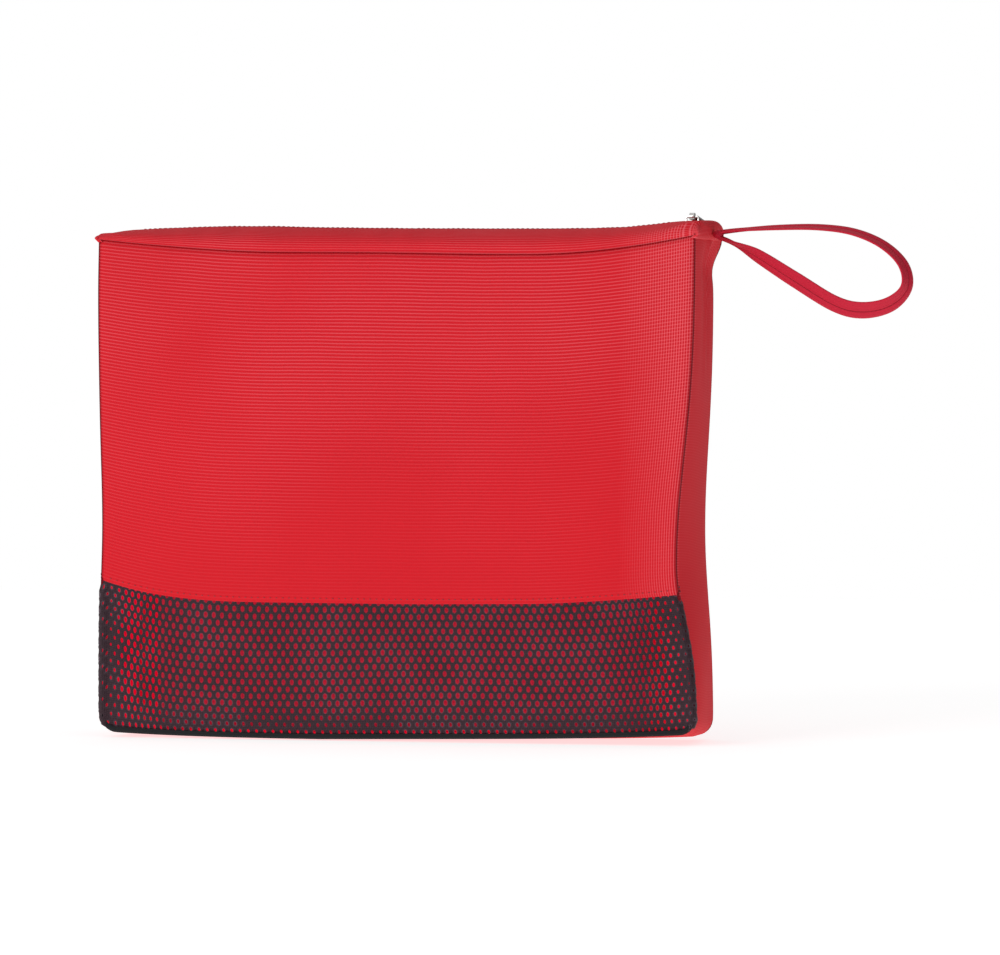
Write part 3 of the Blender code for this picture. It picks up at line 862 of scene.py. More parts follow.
@dataclass(frozen=True)
class PouchForm:
    """The shape of the filled pouch, worked out from the box that its sewing pattern makes."""

    half_width: float
    half_depth: float
    seam_height: float
    crown_height: float
    hem_height: float
    corner: float = 0.008
    slot: float = 0.0043
    front_swell: float = 0.0042
    back_swell: float = 0.0030
    seam_roll: float = 0.0013
    roll_reach: float = 0.0035
    side_puff: float = 0.0015
    edge_sag: float = 0.0012
    corner_lift: float = 0.0022
    front_lift_start: float = -0.040
    front_slope: float = 0.0165
    swell_height: float = 0.12
    under_turn: float = 0.0030
    under_height: float = 0.013
    crown_power: float = 0.86
    crown_overhang: float = 0.0004
    crown_roll: float = 0.0011
    gather: float = 0.00022
    ridge_blur: float = 0.004
    ridge: tuple[tuple[float, float], ...] = (
        (-0.158, 0.2532),
        (-0.148, 0.2554),
        (-0.125, 0.2565),
        (-0.100, 0.2574),
        (-0.075, 0.2575),
        (-0.045, 0.2569),
        (0.000, 0.2566),
        (0.060, 0.2566),
        (0.092, 0.2569),
        (0.115, 0.2577),
        (0.128, 0.2591),
        (0.142, 0.2608),
        (0.158, 0.2611),
    )
    zip_cover: float = 0.2590
    left_sink: float = 0.0014
    seam_climbs: dict[End, Climb] = field(
        default_factory=lambda: {
            End.LEFT: Climb(0.060, 0.095, 0.0062, 1.6),
            End.RIGHT: Climb(0.070, 0.085, 0.0098, 1.8),
        }
    )
    hem_climbs: dict[End, Climb] = field(
        default_factory=lambda: {
            End.LEFT: Climb(0.060, 0.095, 0.0103, 3),
            End.RIGHT: Climb(0.070, 0.085, 0.0054, 1.5),
        }
    )
    back_slack: dict[End, float] = field(default_factory=lambda: {End.LEFT: 0.0036, End.RIGHT: 0.0048})
    front_waists: dict[End, tuple[Waist, ...]] = field(
        default_factory=lambda: {
            End.LEFT: (Waist(0.100, 0.0014, 0.025, 0.030), Waist(0.216, -0.0006, 0.030, 0.018)),
            End.RIGHT: (Waist(0.085, 0.0095, 0.028, 0.052),),
        }
    )
    back_waists: dict[End, tuple[Waist, ...]] = field(
        default_factory=lambda: {
            End.LEFT: (Waist(0.095, 0.0034, 0.035, 0.045),),
            End.RIGHT: (Waist(0.105, 0.0043, 0.035, 0.042), Waist(0.2355, 0.0016, 0.006, 0.006)),
        }
    )

    @staticmethod
    def end_of(x: float) -> End:
        """The end that a place is nearer to."""
        return End.RIGHT if x > 0 else End.LEFT

    def side_x(self, end: End, depth_share: float, z: float) -> float:
        """How far out the side is, for a share from -1 at the front seam to 1 at the back seam."""
        front = sum(waist.at(z) for waist in self.front_waists[end])
        slack = self.back_slack[end] * ease(self.seam_height - 0.001, self.seam_height - 0.019, z)
        back = slack + sum(waist.at(z) for waist in self.back_waists[end])
        inset = mix(front, back, ease(-1.0, 1.0, depth_share))
        puff = self.side_puff * (1 - depth_share**2) * ease(0.0, 0.03, z) * ease(self.seam_height, 0.20, z)
        puff *= 1.0 if end is End.RIGHT else 0.2
        return self.half_width - inset + puff

    def seam_lift(self, face: Face, x: float) -> float:
        """How far the top seam rises above its sewn height: it climbs to both ends and sags a little between."""
        climb = self.seam_climbs[self.end_of(x)].at(abs(x))
        share = 1.0 if face is Face.FRONT else 0.65
        return share * (climb - self.edge_sag - 0.0006 * ease(-0.02, 0.05, x))

    def hem_lift(self, x: float) -> float:
        """How far the front panel's hem rises above its sewn height."""
        return self.hem_climbs[self.end_of(x)].at(abs(x)) - self.edge_sag + 0.0008 * ease(0.0, 0.08, x)

    def base_lift(self, x: float, front_share: float) -> float:
        """How far the lower edge rises off the ground towards the corners, more so along the front's right."""
        right = max(0.0, x - self.front_lift_start)
        return self.corner_lift * (abs(x) / self.half_width) ** 4 + self.front_slope * right * front_share**2

    def swell(self, face: Face, x: float, z: float) -> float:
        """How far a broad face stands out at a place."""
        across = 1.0 - min(abs(x) / self.half_width, 1.0) ** 3.2
        if z > self.swell_height:
            up = 1.0 - min((z - self.swell_height) / (self.seam_height - self.swell_height), 1.0) ** 3.0
        else:
            up = 1.0 - min((self.swell_height - z) / 0.128, 1.0) ** 5.0
        most = self.front_swell if face is Face.FRONT else self.back_swell
        return most * across * up

    def face_y(self, face: Face, x: float, z: float) -> float:
        """The depth of a broad face, where its sewn edges roll in and its lower edge turns under."""
        under = self.under_turn * max(0.0, 1.0 - z / self.under_height) ** 2
        return face.value * (self.half_depth + self.swell(face, x, z) - under)

    def drape(self, x: float, depth_share: float, z: float) -> tuple[float, float]:
        """Moves a place on the sewing pattern's box to where the sagged cloth is.

        Args:
            x: Place along the zip on the pattern.
            depth_share: -1 at the front seam to 1 at the back seam.
            z: Height on the pattern.

        Returns:
            The place along the zip and the height.
        """
        front_share = ease(1.0, -1.0, depth_share)
        lifts = (
            self.base_lift(x, front_share),
            self.hem_lift(x) * front_share,
            mix(self.seam_lift(Face.BACK, x), self.seam_lift(Face.FRONT, x), front_share),
        )
        if z < self.hem_height:
            lift = mix(lifts[0], lifts[1], max(z, 0.0) / self.hem_height)
        else:
            lift = mix(lifts[1], lifts[2], (z - self.hem_height) / (self.seam_height - self.hem_height))
        side = self.side_x(self.end_of(x), depth_share, z)
        return x * side / self.half_width, z + lift

    def rounded(self, x: float, z: float) -> tuple[float, float]:
        """Moves a place in a lower corner's square onto the corner's quarter circle."""
        beyond = abs(x) - (self.half_width - self.corner)
        below = self.corner - z
        if beyond <= 0 or below <= 0:
            return x, z
        over, down = beyond / self.corner, below / self.corner
        over, down = over * math.sqrt(1 - down * down / 2), down * math.sqrt(1 - over * over / 2)
        return (
            math.copysign(self.half_width - self.corner + over * self.corner, x),
            self.corner - down * self.corner,
        )

    def ridge_height(self, x: float) -> float:
        """How high the cloth stands beside the zip: it sags between the ends and stands up by the strap."""
        places, heights = zip(*self.ridge)
        return float(sum(np.interp(x + step * self.ridge_blur, places, heights) for step in (-1, 0, 1)) / 3)

    def zip_drop(self, x: float) -> float:
        """How far the zip sags below its straight line, so that the cloth beside it hides it from the side."""
        return min(self.ridge_height(x) - self.zip_cover, 0.0) - self.left_sink * ease(-0.124, -0.139, x)

    def roll(self, x: float, z: float) -> float:
        """How far cloth rolls in at the side and top seams."""
        beyond = self.half_width - abs(x)
        side = max(0.0, 1.0 - beyond / self.roll_reach) ** 2
        top = max(0.0, 1.0 - (self.seam_height - z) / self.roll_reach) ** 2
        return self.seam_roll * max(side, top)

    def on_face(self, face: Face, x: float, z: float, out: float = 0.0, square: bool = True) -> Vector:
        """A point on a broad face from its place on the pattern, whose lower corners are square or already round."""
        if square:
            x, z = self.rounded(x, z)
        y = self.face_y(face, x, z) - face.value * self.roll(x, z)
        moved_x, moved_z = self.drape(x, float(face.value), z)
        return Vector((moved_x, y + face.value * out, moved_z))

    def crown(self, face: Face, x: float, turn: float, out: float = 0.0) -> Vector:
        """A point on the crowned top.

        Args:
            face: Which half of the top.
            x: Place along the zip on the pattern.
            turn: 0 at the seam to 1 at the zip's slot.
            out: Distance outwards from the cloth.
        """
        moved_x, seam = self.drape(x, float(face.value), self.seam_height)
        angle = turn * math.pi / 2
        across, up = math.cos(angle) ** self.crown_power, math.sin(angle) ** self.crown_power
        edge = abs(self.face_y(face, x, self.seam_height)) + self.crown_overhang
        y = mix(self.slot, edge, across)
        z = mix(seam, self.ridge_height(x), up)
        gather = self.gather * math.sin(x * 260 + 2.0 * math.sin(x * 61)) * math.sin(math.pi * turn)
        push = out + gather + self.crown_roll * bump_at(turn, 0.26, 0.15)
        return Vector((moved_x, face.value * (y + push * math.cos(angle)), z + push * math.sin(angle)))


# ---------------------------------------------------------------------------------------------------------
# Sub-assemblies
# ---------------------------------------------------------------------------------------------------------


class Workshop:
    """Finishes pieces: dresses them, hangs them on the frame and reports them."""

    bend_span = (0.1380, 0.1325)

    def __init__(self, form: PouchForm, finishes: Finishes) -> None:
        """Keeps the pouch's form and the finishes."""
        self.form = form
        self.finishes = finishes

    def dress(self, obj: bpy.types.Object, finish: bpy.types.Material) -> bpy.types.Object:
        """Gives a piece its finish, with the lining on the inside of walls that were made with one."""
        sides = np.array([face.material_index for face in obj.data.polygons], np.int32)
        obj.data.materials.clear()
        obj.data.materials.append(finish)
        if sides.any():
            obj.data.materials.append(self.finishes.lining)
            obj.data.polygons.foreach_set("material_index", sides)
        return obj

    @staticmethod
    def declare(obj: bpy.types.Object, slot: str, replaced: Sequence[str]) -> bpy.types.Object:
        """Hides the CAD nodes that a piece replaces and logs its number of faces."""
        if replaced:
            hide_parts(*replaced)
        LOG.info("%s: %d faces", obj.name, len(obj.data.polygons))
        return obj

    def hang(
        self, obj: bpy.types.Object, finish: bpy.types.Material, body: str, slot: str, *replaced: str
    ) -> bpy.types.Object:
        """Dresses a piece, lets it ride on a body and hides the CAD nodes that it stands for.

        Args:
            obj: The finished piece.
            finish: Its material.
            body: The CAD body that carries it.
            slot: The material slot; not used.
            replaced: The CAD nodes that it replaces.
        """
        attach(self.dress(obj, finish), body)
        return self.declare(obj, slot, replaced)

    def hang_across(
        self, obj: bpy.types.Object, finish: bpy.types.Material, face: Face, end: End, slot: str, *replaced: str
    ) -> bpy.types.Object:
        """Dresses a piece of a lip, bakes its place into its mesh and hides the CAD nodes that it replaces."""
        start, stop = (Vector((end.value * place, 0, 0)) for place in self.bend_span)
        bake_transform(self.dress(obj, finish))
        return self.declare(obj, slot, replaced)


@dataclass
class PouchShell:
    """The red panels, the gusset all round, the bindings inside it and the stitched hem."""

    shop: Workshop
    wall: float = 0.0011
    hem_turn: float = 0.0009
    seam_turn: float = 0.0014
    stitch_rise: float = 0.0024
    stitch_pitch: float = 0.0033
    binding_wall: float = 0.0008
    binding_width: float = 0.008

    def panel(self, name: str, face: Face, bottom: float, columns: int, rows: int) -> bpy.types.Object:
        """One broad panel, from a height on the pattern up to the top seam."""
        form = self.shop.form

        def place(u: float, v: float) -> Vector:
            """A point on the panel, with the hem's edge turned in."""
            x, z = mix(-form.half_width, form.half_width, u), mix(bottom, form.seam_height + self.seam_turn, v)
            hem = self.hem_turn * max(0.0, 1.0 - (z - bottom) / 0.0016) ** 2 if bottom > 0 else 0.0
            return form.on_face(face, x, z, out=-hem)

        def measure(u: float, v: float) -> tuple[float, float]:
            """Metres along the panel."""
            return u * 2 * form.half_width, mix(bottom, form.seam_height, v)

        obj = sheet_of(name, columns, rows, place, measure, sewn="LRT")
        face_away_from(obj, lambda centre: Vector((centre.x, 0, centre.z)))
        return soften(lined_wall(obj, self.wall))

    def gusset_path(self, share: float) -> tuple[float, float, float]:
        """The pattern's place and the distance along it, down one side, along the bottom and up the other."""
        form = self.shop.form
        side = form.seam_height - form.corner
        bend = math.pi / 2 * form.corner
        flat = 2 * (form.half_width - form.corner)
        total = 2 * side + 2 * bend + flat
        run = share * total
        if run > total / 2:
            x, z, _ = self.gusset_path(1.0 - share)
            return -x, z, run
        if run < side:
            return -form.half_width, form.seam_height - run, run
        if run < side + bend:
            angle = (run - side) / form.corner
            return (
                -form.half_width + form.corner * (1 - math.cos(angle)),
                form.corner * (1 - math.sin(angle)),
                run,
            )
        return -form.half_width + form.corner + (run - side - bend), 0.0, run

    def gusset_point(self, share: float, depth_share: float, inside: float = 0.0) -> Vector:
        """A point on the gusset, which meets each panel where that panel's edge rolls in."""
        form = self.shop.form
        x, z, _ = self.gusset_path(share)
        face = Face.FRONT if depth_share < 0 else Face.BACK
        edge = abs(form.face_y(face, x, z)) - form.seam_roll * 0.8
        if inside:
            reach = form.half_width - inside
            x = x * reach / form.half_width
            z = z + inside * (1 - z / form.seam_height)
        moved_x, moved_z = form.drape(x, depth_share, z)
        fold = self.corner_fold(moved_x, depth_share, moved_z)
        return Vector((moved_x - math.copysign(fold, moved_x), depth_share * edge, moved_z))

    @staticmethod
    def corner_fold(x: float, depth_share: float, z: float) -> float:
        """Soft folds that run down the side from the top corner under the strap."""
        if x < 0:
            return 0.0010 * bump_at(depth_share, 0.1, 0.30) * ease(0.170, 0.240, z)
        line = 0.55 - 5.0 * (0.250 - z)
        valley = 0.0030 * bump_at(depth_share, line, 0.20) * ease(0.175, 0.235, z) * ease(0.256, 0.244, z)
        ridge = 0.0012 * bump_at(depth_share, line - 0.5, 0.22) * ease(0.165, 0.225, z)
        return valley - ridge

    def gusset(self) -> bpy.types.Object:
        """The strip that joins the two faces."""

        def place(u: float, v: float) -> Vector:
            """A point on the strip."""
            return self.gusset_point(u, mix(-1.0, 1.0, v))

        def measure(u: float, v: float) -> tuple[float, float]:
            """Metres along the strip, whose ribs run its length."""
            return self.gusset_path(u)[2], v * 2 * self.shop.form.half_depth

        obj = sheet_of("gusset_cloth", 220, 44, place, measure, sewn="BT")
        face_away_from(obj, lambda centre: Vector((0, centre.y, 0.12)))
        return soften(lined_wall(obj, self.wall))

    def binding(self, name: str, face: Face) -> bpy.types.Object:
        """The tape folded over a seam's raw edges, inside the pouch."""
        inset = self.wall + 0.0006
        reach = self.binding_width / self.shop.form.half_depth

        def place(u: float, v: float) -> Vector:
            """A point on the tape."""
            edge = 0.97 - reach * v
            return self.gusset_point(mix(0.004, 0.996, u), face.value * edge, inside=inset)

        def measure(u: float, v: float) -> tuple[float, float]:
            """Metres along the tape."""
            return self.gusset_path(u)[2], v * self.binding_width

        obj = sheet_of(name, 160, 4, place, measure)
        face_away_from(obj, lambda centre: Vector((0, centre.y, 0.12)))
        return soften(thicken(obj, self.binding_wall))

    def hem_stitching(self) -> bpy.types.Object:
        """The row of stitches that holds the panel's turned hem over the net."""
        form = self.shop.form
        height = form.hem_height + self.stitch_rise
        reach = form.half_width - 0.004

        def path(share: float) -> Vector:
            """A point just proud of the cloth along the hem."""
            return form.on_face(Face.FRONT, mix(-reach, reach, share), height, out=0.00012)

        count = round(2 * reach / self.stitch_pitch)
        return stitched_line("hem_stitching", path, lambda share: Vector((0, -1, 0)), count, 0.36, 0.00024)

    def build(self) -> None:
        """Makes and hangs every piece of the shell."""
        shop, form = self.shop, self.shop.form
        red = shop.finishes.shell
        front = self.panel("front_panel_cloth", Face.FRONT, form.hem_height, 150, 96)
        shop.hang(front, red, "pouch", "shell", "front_panel")
        back = self.panel("back_panel_cloth", Face.BACK, 0.0, 130, 120)
        shop.hang(back, red, "pouch", "shell", "back_panel")
        shop.hang(self.gusset(), red, "pouch", "shell", "gusset_strip")
        for face in Face:
            tape = self.binding(f"seam_tape_{face.label}", face)
            shop.hang(tape, shop.finishes.seam_tape, "pouch", "tape", f"seam_binding_{face.label}")
        shop.hang(self.hem_stitching(), shop.finishes.red_thread, "pouch", "shell")


@dataclass
class MeshWindow:
    """The knitted net across the lower front, with the binding along its foot and the band behind its top."""

    shop: Workshop
    hole_pitch: float = 0.00433
    row_pitch: float = 0.00370
    hole_width: float = 0.00210
    hole_height: float = 0.00310
    strand_rise: float = 0.00028
    yarn: float = 0.00055
    tuck: float = 0.0040
    behind_hem: float = 0.0012
    band_wall: float = 0.0008
    band_height: float = 0.0045
    seam_cover: float = 0.0012
    wrap: float = 0.0030
    tight_from: float = 0.147
    tight_reach: float = 0.010
    side_tightness: float = 0.50
    foot_tight_height: float = 0.018
    foot_tight_reach: float = 0.012
    foot_tightness: float = 0.30
    crowding: float = 0.05
    foot_height: float = 0.0027
    foot_gap: float = 0.0010
    foot_wall: float = 0.0016

    def cell(self) -> bpy.types.Object:
        """One hole with half of the yarn round it, drawn flat in X and Y as a six-sided ring."""
        pitch, row = self.hole_pitch, self.row_pitch
        peak = (pitch**2 / 4 + row**2) / (2 * row)
        shoulder = row - peak
        corners = [(0, peak), (-pitch / 2, shoulder), (-pitch / 2, -shoulder), (0, -peak)]
        corners += [(pitch / 2, -shoulder), (pitch / 2, shoulder)]
        bpy.ops.object.select_all(action="DESELECT")
        bpy.ops.mesh.primitive_circle_add(vertices=12, radius=1.0, fill_type="NGON")
        obj = named_new("net_cell")
        outline = []
        for here, ahead in zip(corners, corners[1:] + corners[:1]):
            outline += [(*here, 0.0), ((here[0] + ahead[0]) / 2, (here[1] + ahead[1]) / 2, 0.0)]
        points = coordinates(obj.data)
        order = np.argsort(np.arctan2(points[:, 1], points[:, 0]))
        target = sorted(outline, key=lambda spot: math.atan2(spot[1], spot[0]))
        points[order] = np.array(target)
        set_coordinates(obj.data, points)
        with editing(obj):
            bpy.ops.mesh.inset(thickness=pitch * 0.12, use_even_offset=False)
            bpy.ops.mesh.delete(type="ONLY_FACE")
        points = coordinates(obj.data)
        for index in range(12, 24):
            angle = math.atan2(points[index, 1] * pitch, points[index, 0] * 2 * peak)
            points[index, :2] = self.hole_width / 2 * math.cos(angle), self.hole_height / 2 * math.sin(angle)
        points[:12, 2] = self.strand_rise
        set_coordinates(obj.data, points)
        edge = obj.data.attributes.new("hole_edge", "FLOAT", "POINT")
        edge.data.foreach_set("value", [0.0] * 12 + [1.0] * 12)
        return obj

    def flat_net(self, columns: int, rows: int) -> bpy.types.Object:
        """The staggered net, laid flat: pairs of cells repeated across and up."""
        first = self.cell()
        second = first.copy()
        second.data = first.data.copy()
        bpy.context.scene.collection.objects.link(second)
        second.location = (self.hole_pitch / 2, self.row_pitch, 0)
        settle_transform(second)
        net = joined("net_window_cloth", (first, second))
        for count, offset in ((columns, (self.hole_pitch, 0, 0)), (rows, (0, 2 * self.row_pitch, 0))):
            modify(
                net, "ARRAY", count=count, use_relative_offset=False, use_constant_offset=True,
                constant_offset_displace=offset, use_merge_vertices=True, merge_threshold=0.00002,
            )
        tidy_normals(net, 0.00002)
        return net

    @staticmethod
    def trimmed(obj: bpy.types.Object, point: tuple[float, float, float], outward: tuple[float, float, float]) -> None:
        """Cuts away what lies beyond a plane."""
        with editing(obj):
            bpy.ops.mesh.bisect(plane_co=point, plane_no=outward, clear_outer=True)

    def drawn_tight(self, obj: bpy.types.Object, start: float) -> np.ndarray:
        """The flat net's points, with the holes drawn smaller towards the sewn sides and the foot.

        Args:
            obj: The flat net.
            start: The place across of the first column's holes.
        """
        points = coordinates(obj.data)
        edge = np.empty(len(points))
        obj.data.attributes["hole_edge"].data.foreach_get("value", edge)
        level = np.rint(points[:, 1] / self.row_pitch)
        shift = start + (level % 2) * self.hole_pitch / 2
        across = np.rint((points[:, 0] - shift) / self.hole_pitch) * self.hole_pitch + shift
        centres = np.column_stack((across, level * self.row_pitch))
        side = np.clip((np.abs(across) - self.tight_from) / self.tight_reach, 0, 1)
        foot = np.clip((self.foot_tight_height - centres[:, 1]) / self.foot_tight_reach, 0, 1)
        share = edge * (self.side_tightness * side + self.foot_tightness * foot * (1.0 - side))
        points[:, :2] += (centres - points[:, :2]) * share[:, None]
        return points

    def net(self) -> bpy.types.Object:
        """The net on the pouch, clipped to the pattern's outline and curved with the front."""
        form = self.shop.form
        top = form.hem_height + self.tuck
        columns = math.ceil(2 * (form.half_width + self.wrap) / (1.0 - self.crowding) / self.hole_pitch) + 2
        rows = math.ceil(top / (2 * self.row_pitch)) + 1
        obj = self.flat_net(columns, rows)
        points = coordinates(obj.data)
        points[:, 0] -= (columns - 0.5) * self.hole_pitch / 2
        set_coordinates(obj.data, points)
        half = (form.half_width + self.wrap) / (1.0 - self.crowding)
        for edge, outward in (
            ((half, 0, 0), (1, 0, 0)),
            ((-half, 0, 0), (-1, 0, 0)),
            ((0, top, 0), (0, 1, 0)),
            ((0, self.foot_gap, 0), (0, -1, 0)),
        ):
            self.trimmed(obj, edge, outward)
        points = self.drawn_tight(obj, -(columns - 0.5) * self.hole_pitch / 2)
        uv = obj.data.uv_layers.active or obj.data.uv_layers.new(name="UVMap")
        for loop, spot in zip(obj.data.loops, uv.data):
            spot.uv = points[loop.vertex_index, :2]
        shaped = []
        for x, z, rise in points:
            crowd = 1.0 - self.crowding * ease(0.110, 0.155, abs(x))
            reach = abs(x * crowd)
            across = math.copysign(min(reach, form.half_width), x)
            wrap = max(reach - form.half_width, 0.0)
            proud = ease(0.1500, 0.1542, reach) * ease(top - 0.0054, top - 0.0090, z)
            height = min(max(z, self.foot_gap), top)
            sway = 0.0007 * math.sin(across * 33 + 1.0) * math.sin(math.pi * height / top)
            skew = 0.0040 * ease(-0.110, -0.155, across) * math.sin(math.pi * height / top)
            out = mix(rise - self.behind_hem, rise + self.seam_cover, proud)
            point = form.on_face(Face.FRONT, across, height + sway * (1.0 - proud) + skew * (1.0 - proud), out=out)
            point += Vector((math.copysign(min(wrap, 0.0009) * proud, x), wrap * proud, 0))
            shaped.append(point)
        set_coordinates(obj.data, np.array(shaped))
        tidy_normals(obj, 0.00003)
        with editing(obj):
            bpy.ops.mesh.dissolve_degenerate(threshold=0.00004)
        face_away_from(obj, lambda centre: Vector((centre.x, 0, centre.z)))
        return soften(thicken(obj, self.yarn), 70.0)

    def foot_binding(self) -> bpy.types.Object:
        """The folded tape along the net's foot, which runs up round both lower corners."""
        form = self.shop.form
        reach = form.half_width - form.corner
        bend = math.pi / 2 * form.corner

        def outline(u: float) -> tuple[float, float, float, float]:
            """The pattern's edge and the inward direction there."""
            run = mix(-(reach + bend), reach + bend, u)
            angle = max(0.0, abs(run) - reach) / form.corner
            x = math.copysign(min(abs(run), reach) + form.corner * math.sin(angle), run)
            z = form.corner * (1 - math.cos(angle))
            return x, z, -math.copysign(math.sin(angle), run), math.cos(angle)

        def place(u: float, v: float) -> Vector:
            """A point on the tape, which is fuller in its middle."""
            x, z, in_x, in_z = outline(u)
            inward = v * self.foot_height
            out = 0.0006 * math.sin(math.pi * min(v * 1.05, 1.0)) - 0.0002
            return form.on_face(Face.FRONT, x + in_x * inward, z + in_z * inward, out=out, square=False)

        obj = sheet_of("net_foot_binding", 170, 6, place, metres(2 * (reach + bend), self.foot_height))
        face_away_from(obj, lambda centre: Vector((centre.x, 0, centre.z)))
        return soften(thicken(obj, self.foot_wall))

    def top_band(self) -> bpy.types.Object:
        """The tape inside that covers the net's raw top edge."""
        form = self.shop.form
        reach = form.half_width - 0.0022

        def place(u: float, v: float) -> Vector:
            """A point on the band."""
            z = form.hem_height + 0.0002 + v * self.band_height
            return form.on_face(Face.FRONT, mix(-reach, reach, u), z, out=-self.behind_hem - self.yarn - 0.0004)

        obj = sheet_of("net_top_tape", 120, 4, place, metres(2 * reach, self.band_height))
        face_away_from(obj, lambda centre: Vector((centre.x, 0, centre.z)))
        return soften(thicken(obj, self.band_wall))

    def build(self) -> None:
        """Makes and hangs the window's pieces."""
        shop = self.shop
        shop.hang(self.net(), shop.finishes.net, "pouch", "mesh", "mesh_window")
        shop.hang(self.foot_binding(), shop.finishes.tape, "pouch", "tape", "mesh_bottom_binding")
        shop.hang(self.top_band(), shop.finishes.tape, "pouch", "tape", "mesh_top_band")


@dataclass
class CrownedTop:
    """The top gusset: two lips on either side of the zip and a sewn-down cap at each end."""

    shop: Workshop
    lip_end: float = 0.1383
    wall: float = 0.0011
    cap_bend_start: float = 0.1496
    cap_end: float = 0.1574
    boxiness: float = 0.38
    cap_fold: float = 0.0017
    cap_round: float = 0.0026
    seam_tuck: float = 0.0014
    tuck_share: float = 0.94
    slot_end: float = 0.1549
    stitch_turn: float = 0.905
    stitch_pitch: float = 0.0026

    def lip(self, face: Face, end: End) -> bpy.types.Object:
        """Half the length of one lip."""
        form = self.shop.form

        def place(u: float, v: float) -> Vector:
            """A point on the lip, whose edge is turned under along the zip."""
            return form.crown(face, end.value * self.lip_end * closer_at_end(u), v)

        def measure(u: float, v: float) -> tuple[float, float]:
            """Metres along the lip."""
            return end.value * self.lip_end * closer_at_end(u), v * 0.030

        obj = sheet_of(f"lip_cloth_{face.label}_{end.label}", 92, 24, place, measure, sewn="b")
        face_away_from(obj, lambda centre: Vector((centre.x, 0, 0.2)))
        return soften(thicken(obj, self.wall))

    def cap_point(self, end: End, u: float, across: float) -> Vector:
        """A point on an end cap, from the lips' ends at 0 over the rounded end to its sewn edge at 1.

        Args:
            end: Which end of the zip.
            u: Share along the cap.
            across: -1 at the front seam to 1 at the back seam, with the zip's slot in the middle tenth.
        """
        form = self.shop.form
        face = Face.FRONT if across < 0 else Face.BACK
        middle, bend_share = 0.1, 0.4
        if u <= bend_share:
            x, fall = mix(self.lip_end, self.cap_bend_start, u / bend_share), 1.0
        else:
            angle = min((u - bend_share) / (self.tuck_share - bend_share), 1.0) * math.pi / 2
            x = mix(self.cap_bend_start, self.cap_end, math.sin(angle) ** self.boxiness)
            fall = max(math.cos(angle), 0.0) ** self.boxiness
        turn = min((1.0 - abs(across)) / (1.0 - middle), 1.0)
        point = form.crown(face, end.value * min(x, form.half_width), turn)
        if abs(across) < middle:
            point.y = across / middle * form.slot
        rims = [form.drape(end.value * form.half_width, float(side.value), form.seam_height)[1] for side in Face]
        rim = mix(rims[0], rims[1], (across + 1.0) / 2)
        tuck = ease(self.tuck_share, 1.0, u)
        fold = self.cap_fold * bump_at(across, mix(-0.86, -0.30, u), 0.06) * math.sin(math.pi * min(u * 1.15, 1.0))
        fold *= 1.0 if end is End.RIGHT else 0.4
        corner = self.cap_round * max(0.0, (abs(across) - 0.86) / 0.14) ** 2 * ease(0.5, 1.0, u)
        straight = mix(point.x, end.value * x, ease(0.0, 0.3, u))
        back = self.cap_round * ease(0.05, 0.9, across) * ease(0.4, 0.9, u)
        out = 0.5 * fold - back - corner - self.seam_tuck * tuck - 0.0008 * (1.0 - fall)
        height = mix(rim, point.z, fall) if fall < 1.0 else point.z
        depth = point.y * (1.0 - 0.016 * (1.0 - fall))
        return Vector((straight + end.value * out, depth, height + fold - self.seam_tuck * tuck))

    def cap(self, end: End) -> bpy.types.Object:
        """One end cap with the zip's slot cut into it."""

        def place(u: float, v: float) -> Vector:
            """A point on the cap."""
            return self.cap_point(end, u, mix(-1.0, 1.0, v))

        def measure(u: float, v: float) -> tuple[float, float]:
            """Metres along the cap."""
            return end.value * mix(self.lip_end, 0.162, u), v * 0.062

        obj = sheet_of(f"end_cap_cloth_{end.label}", 32, 60, place, measure, sewn="bt")
        face_away_from(obj, lambda centre: Vector((end.value * 0.13, 0, 0.235)))
        remove_faces(obj, lambda spot: abs(spot.y) < self.shop.form.slot and abs(spot.x) < self.slot_end)
        return soften(thicken(obj, self.wall))

    def lip_stitching(self, face: Face, end: End) -> bpy.types.Object:
        """The topstitching along the zip's edge of half a lip."""
        form = self.shop.form

        def path(share: float) -> Vector:
            """A point along the row."""
            return form.crown(face, end.value * mix(0.0005, self.lip_end - 0.0005, share), self.stitch_turn, 0.0001)

        count = round(self.lip_end / self.stitch_pitch)
        name = f"lip_stitching_{face.label}_{end.label}"
        return stitched_line(name, path, lambda share: Vector((0, 0, 1)), count, 0.66, 0.00020)

    def build(self) -> None:
        """Makes and hangs the lips and the caps."""
        shop = self.shop
        for face in Face:
            for end in End:
                replaced = (f"top_gusset_{face.label}",) if end is End.LEFT else ()
                shop.hang_across(self.lip(face, end), shop.finishes.shell, face, end, "shell", *replaced)
                shop.hang_across(self.lip_stitching(face, end), shop.finishes.red_thread, face, end, "shell")
        for end in End:
            shop.hang(self.cap(end), shop.finishes.shell, "pouch", "shell", f"top_gusset_end_{end.label}")


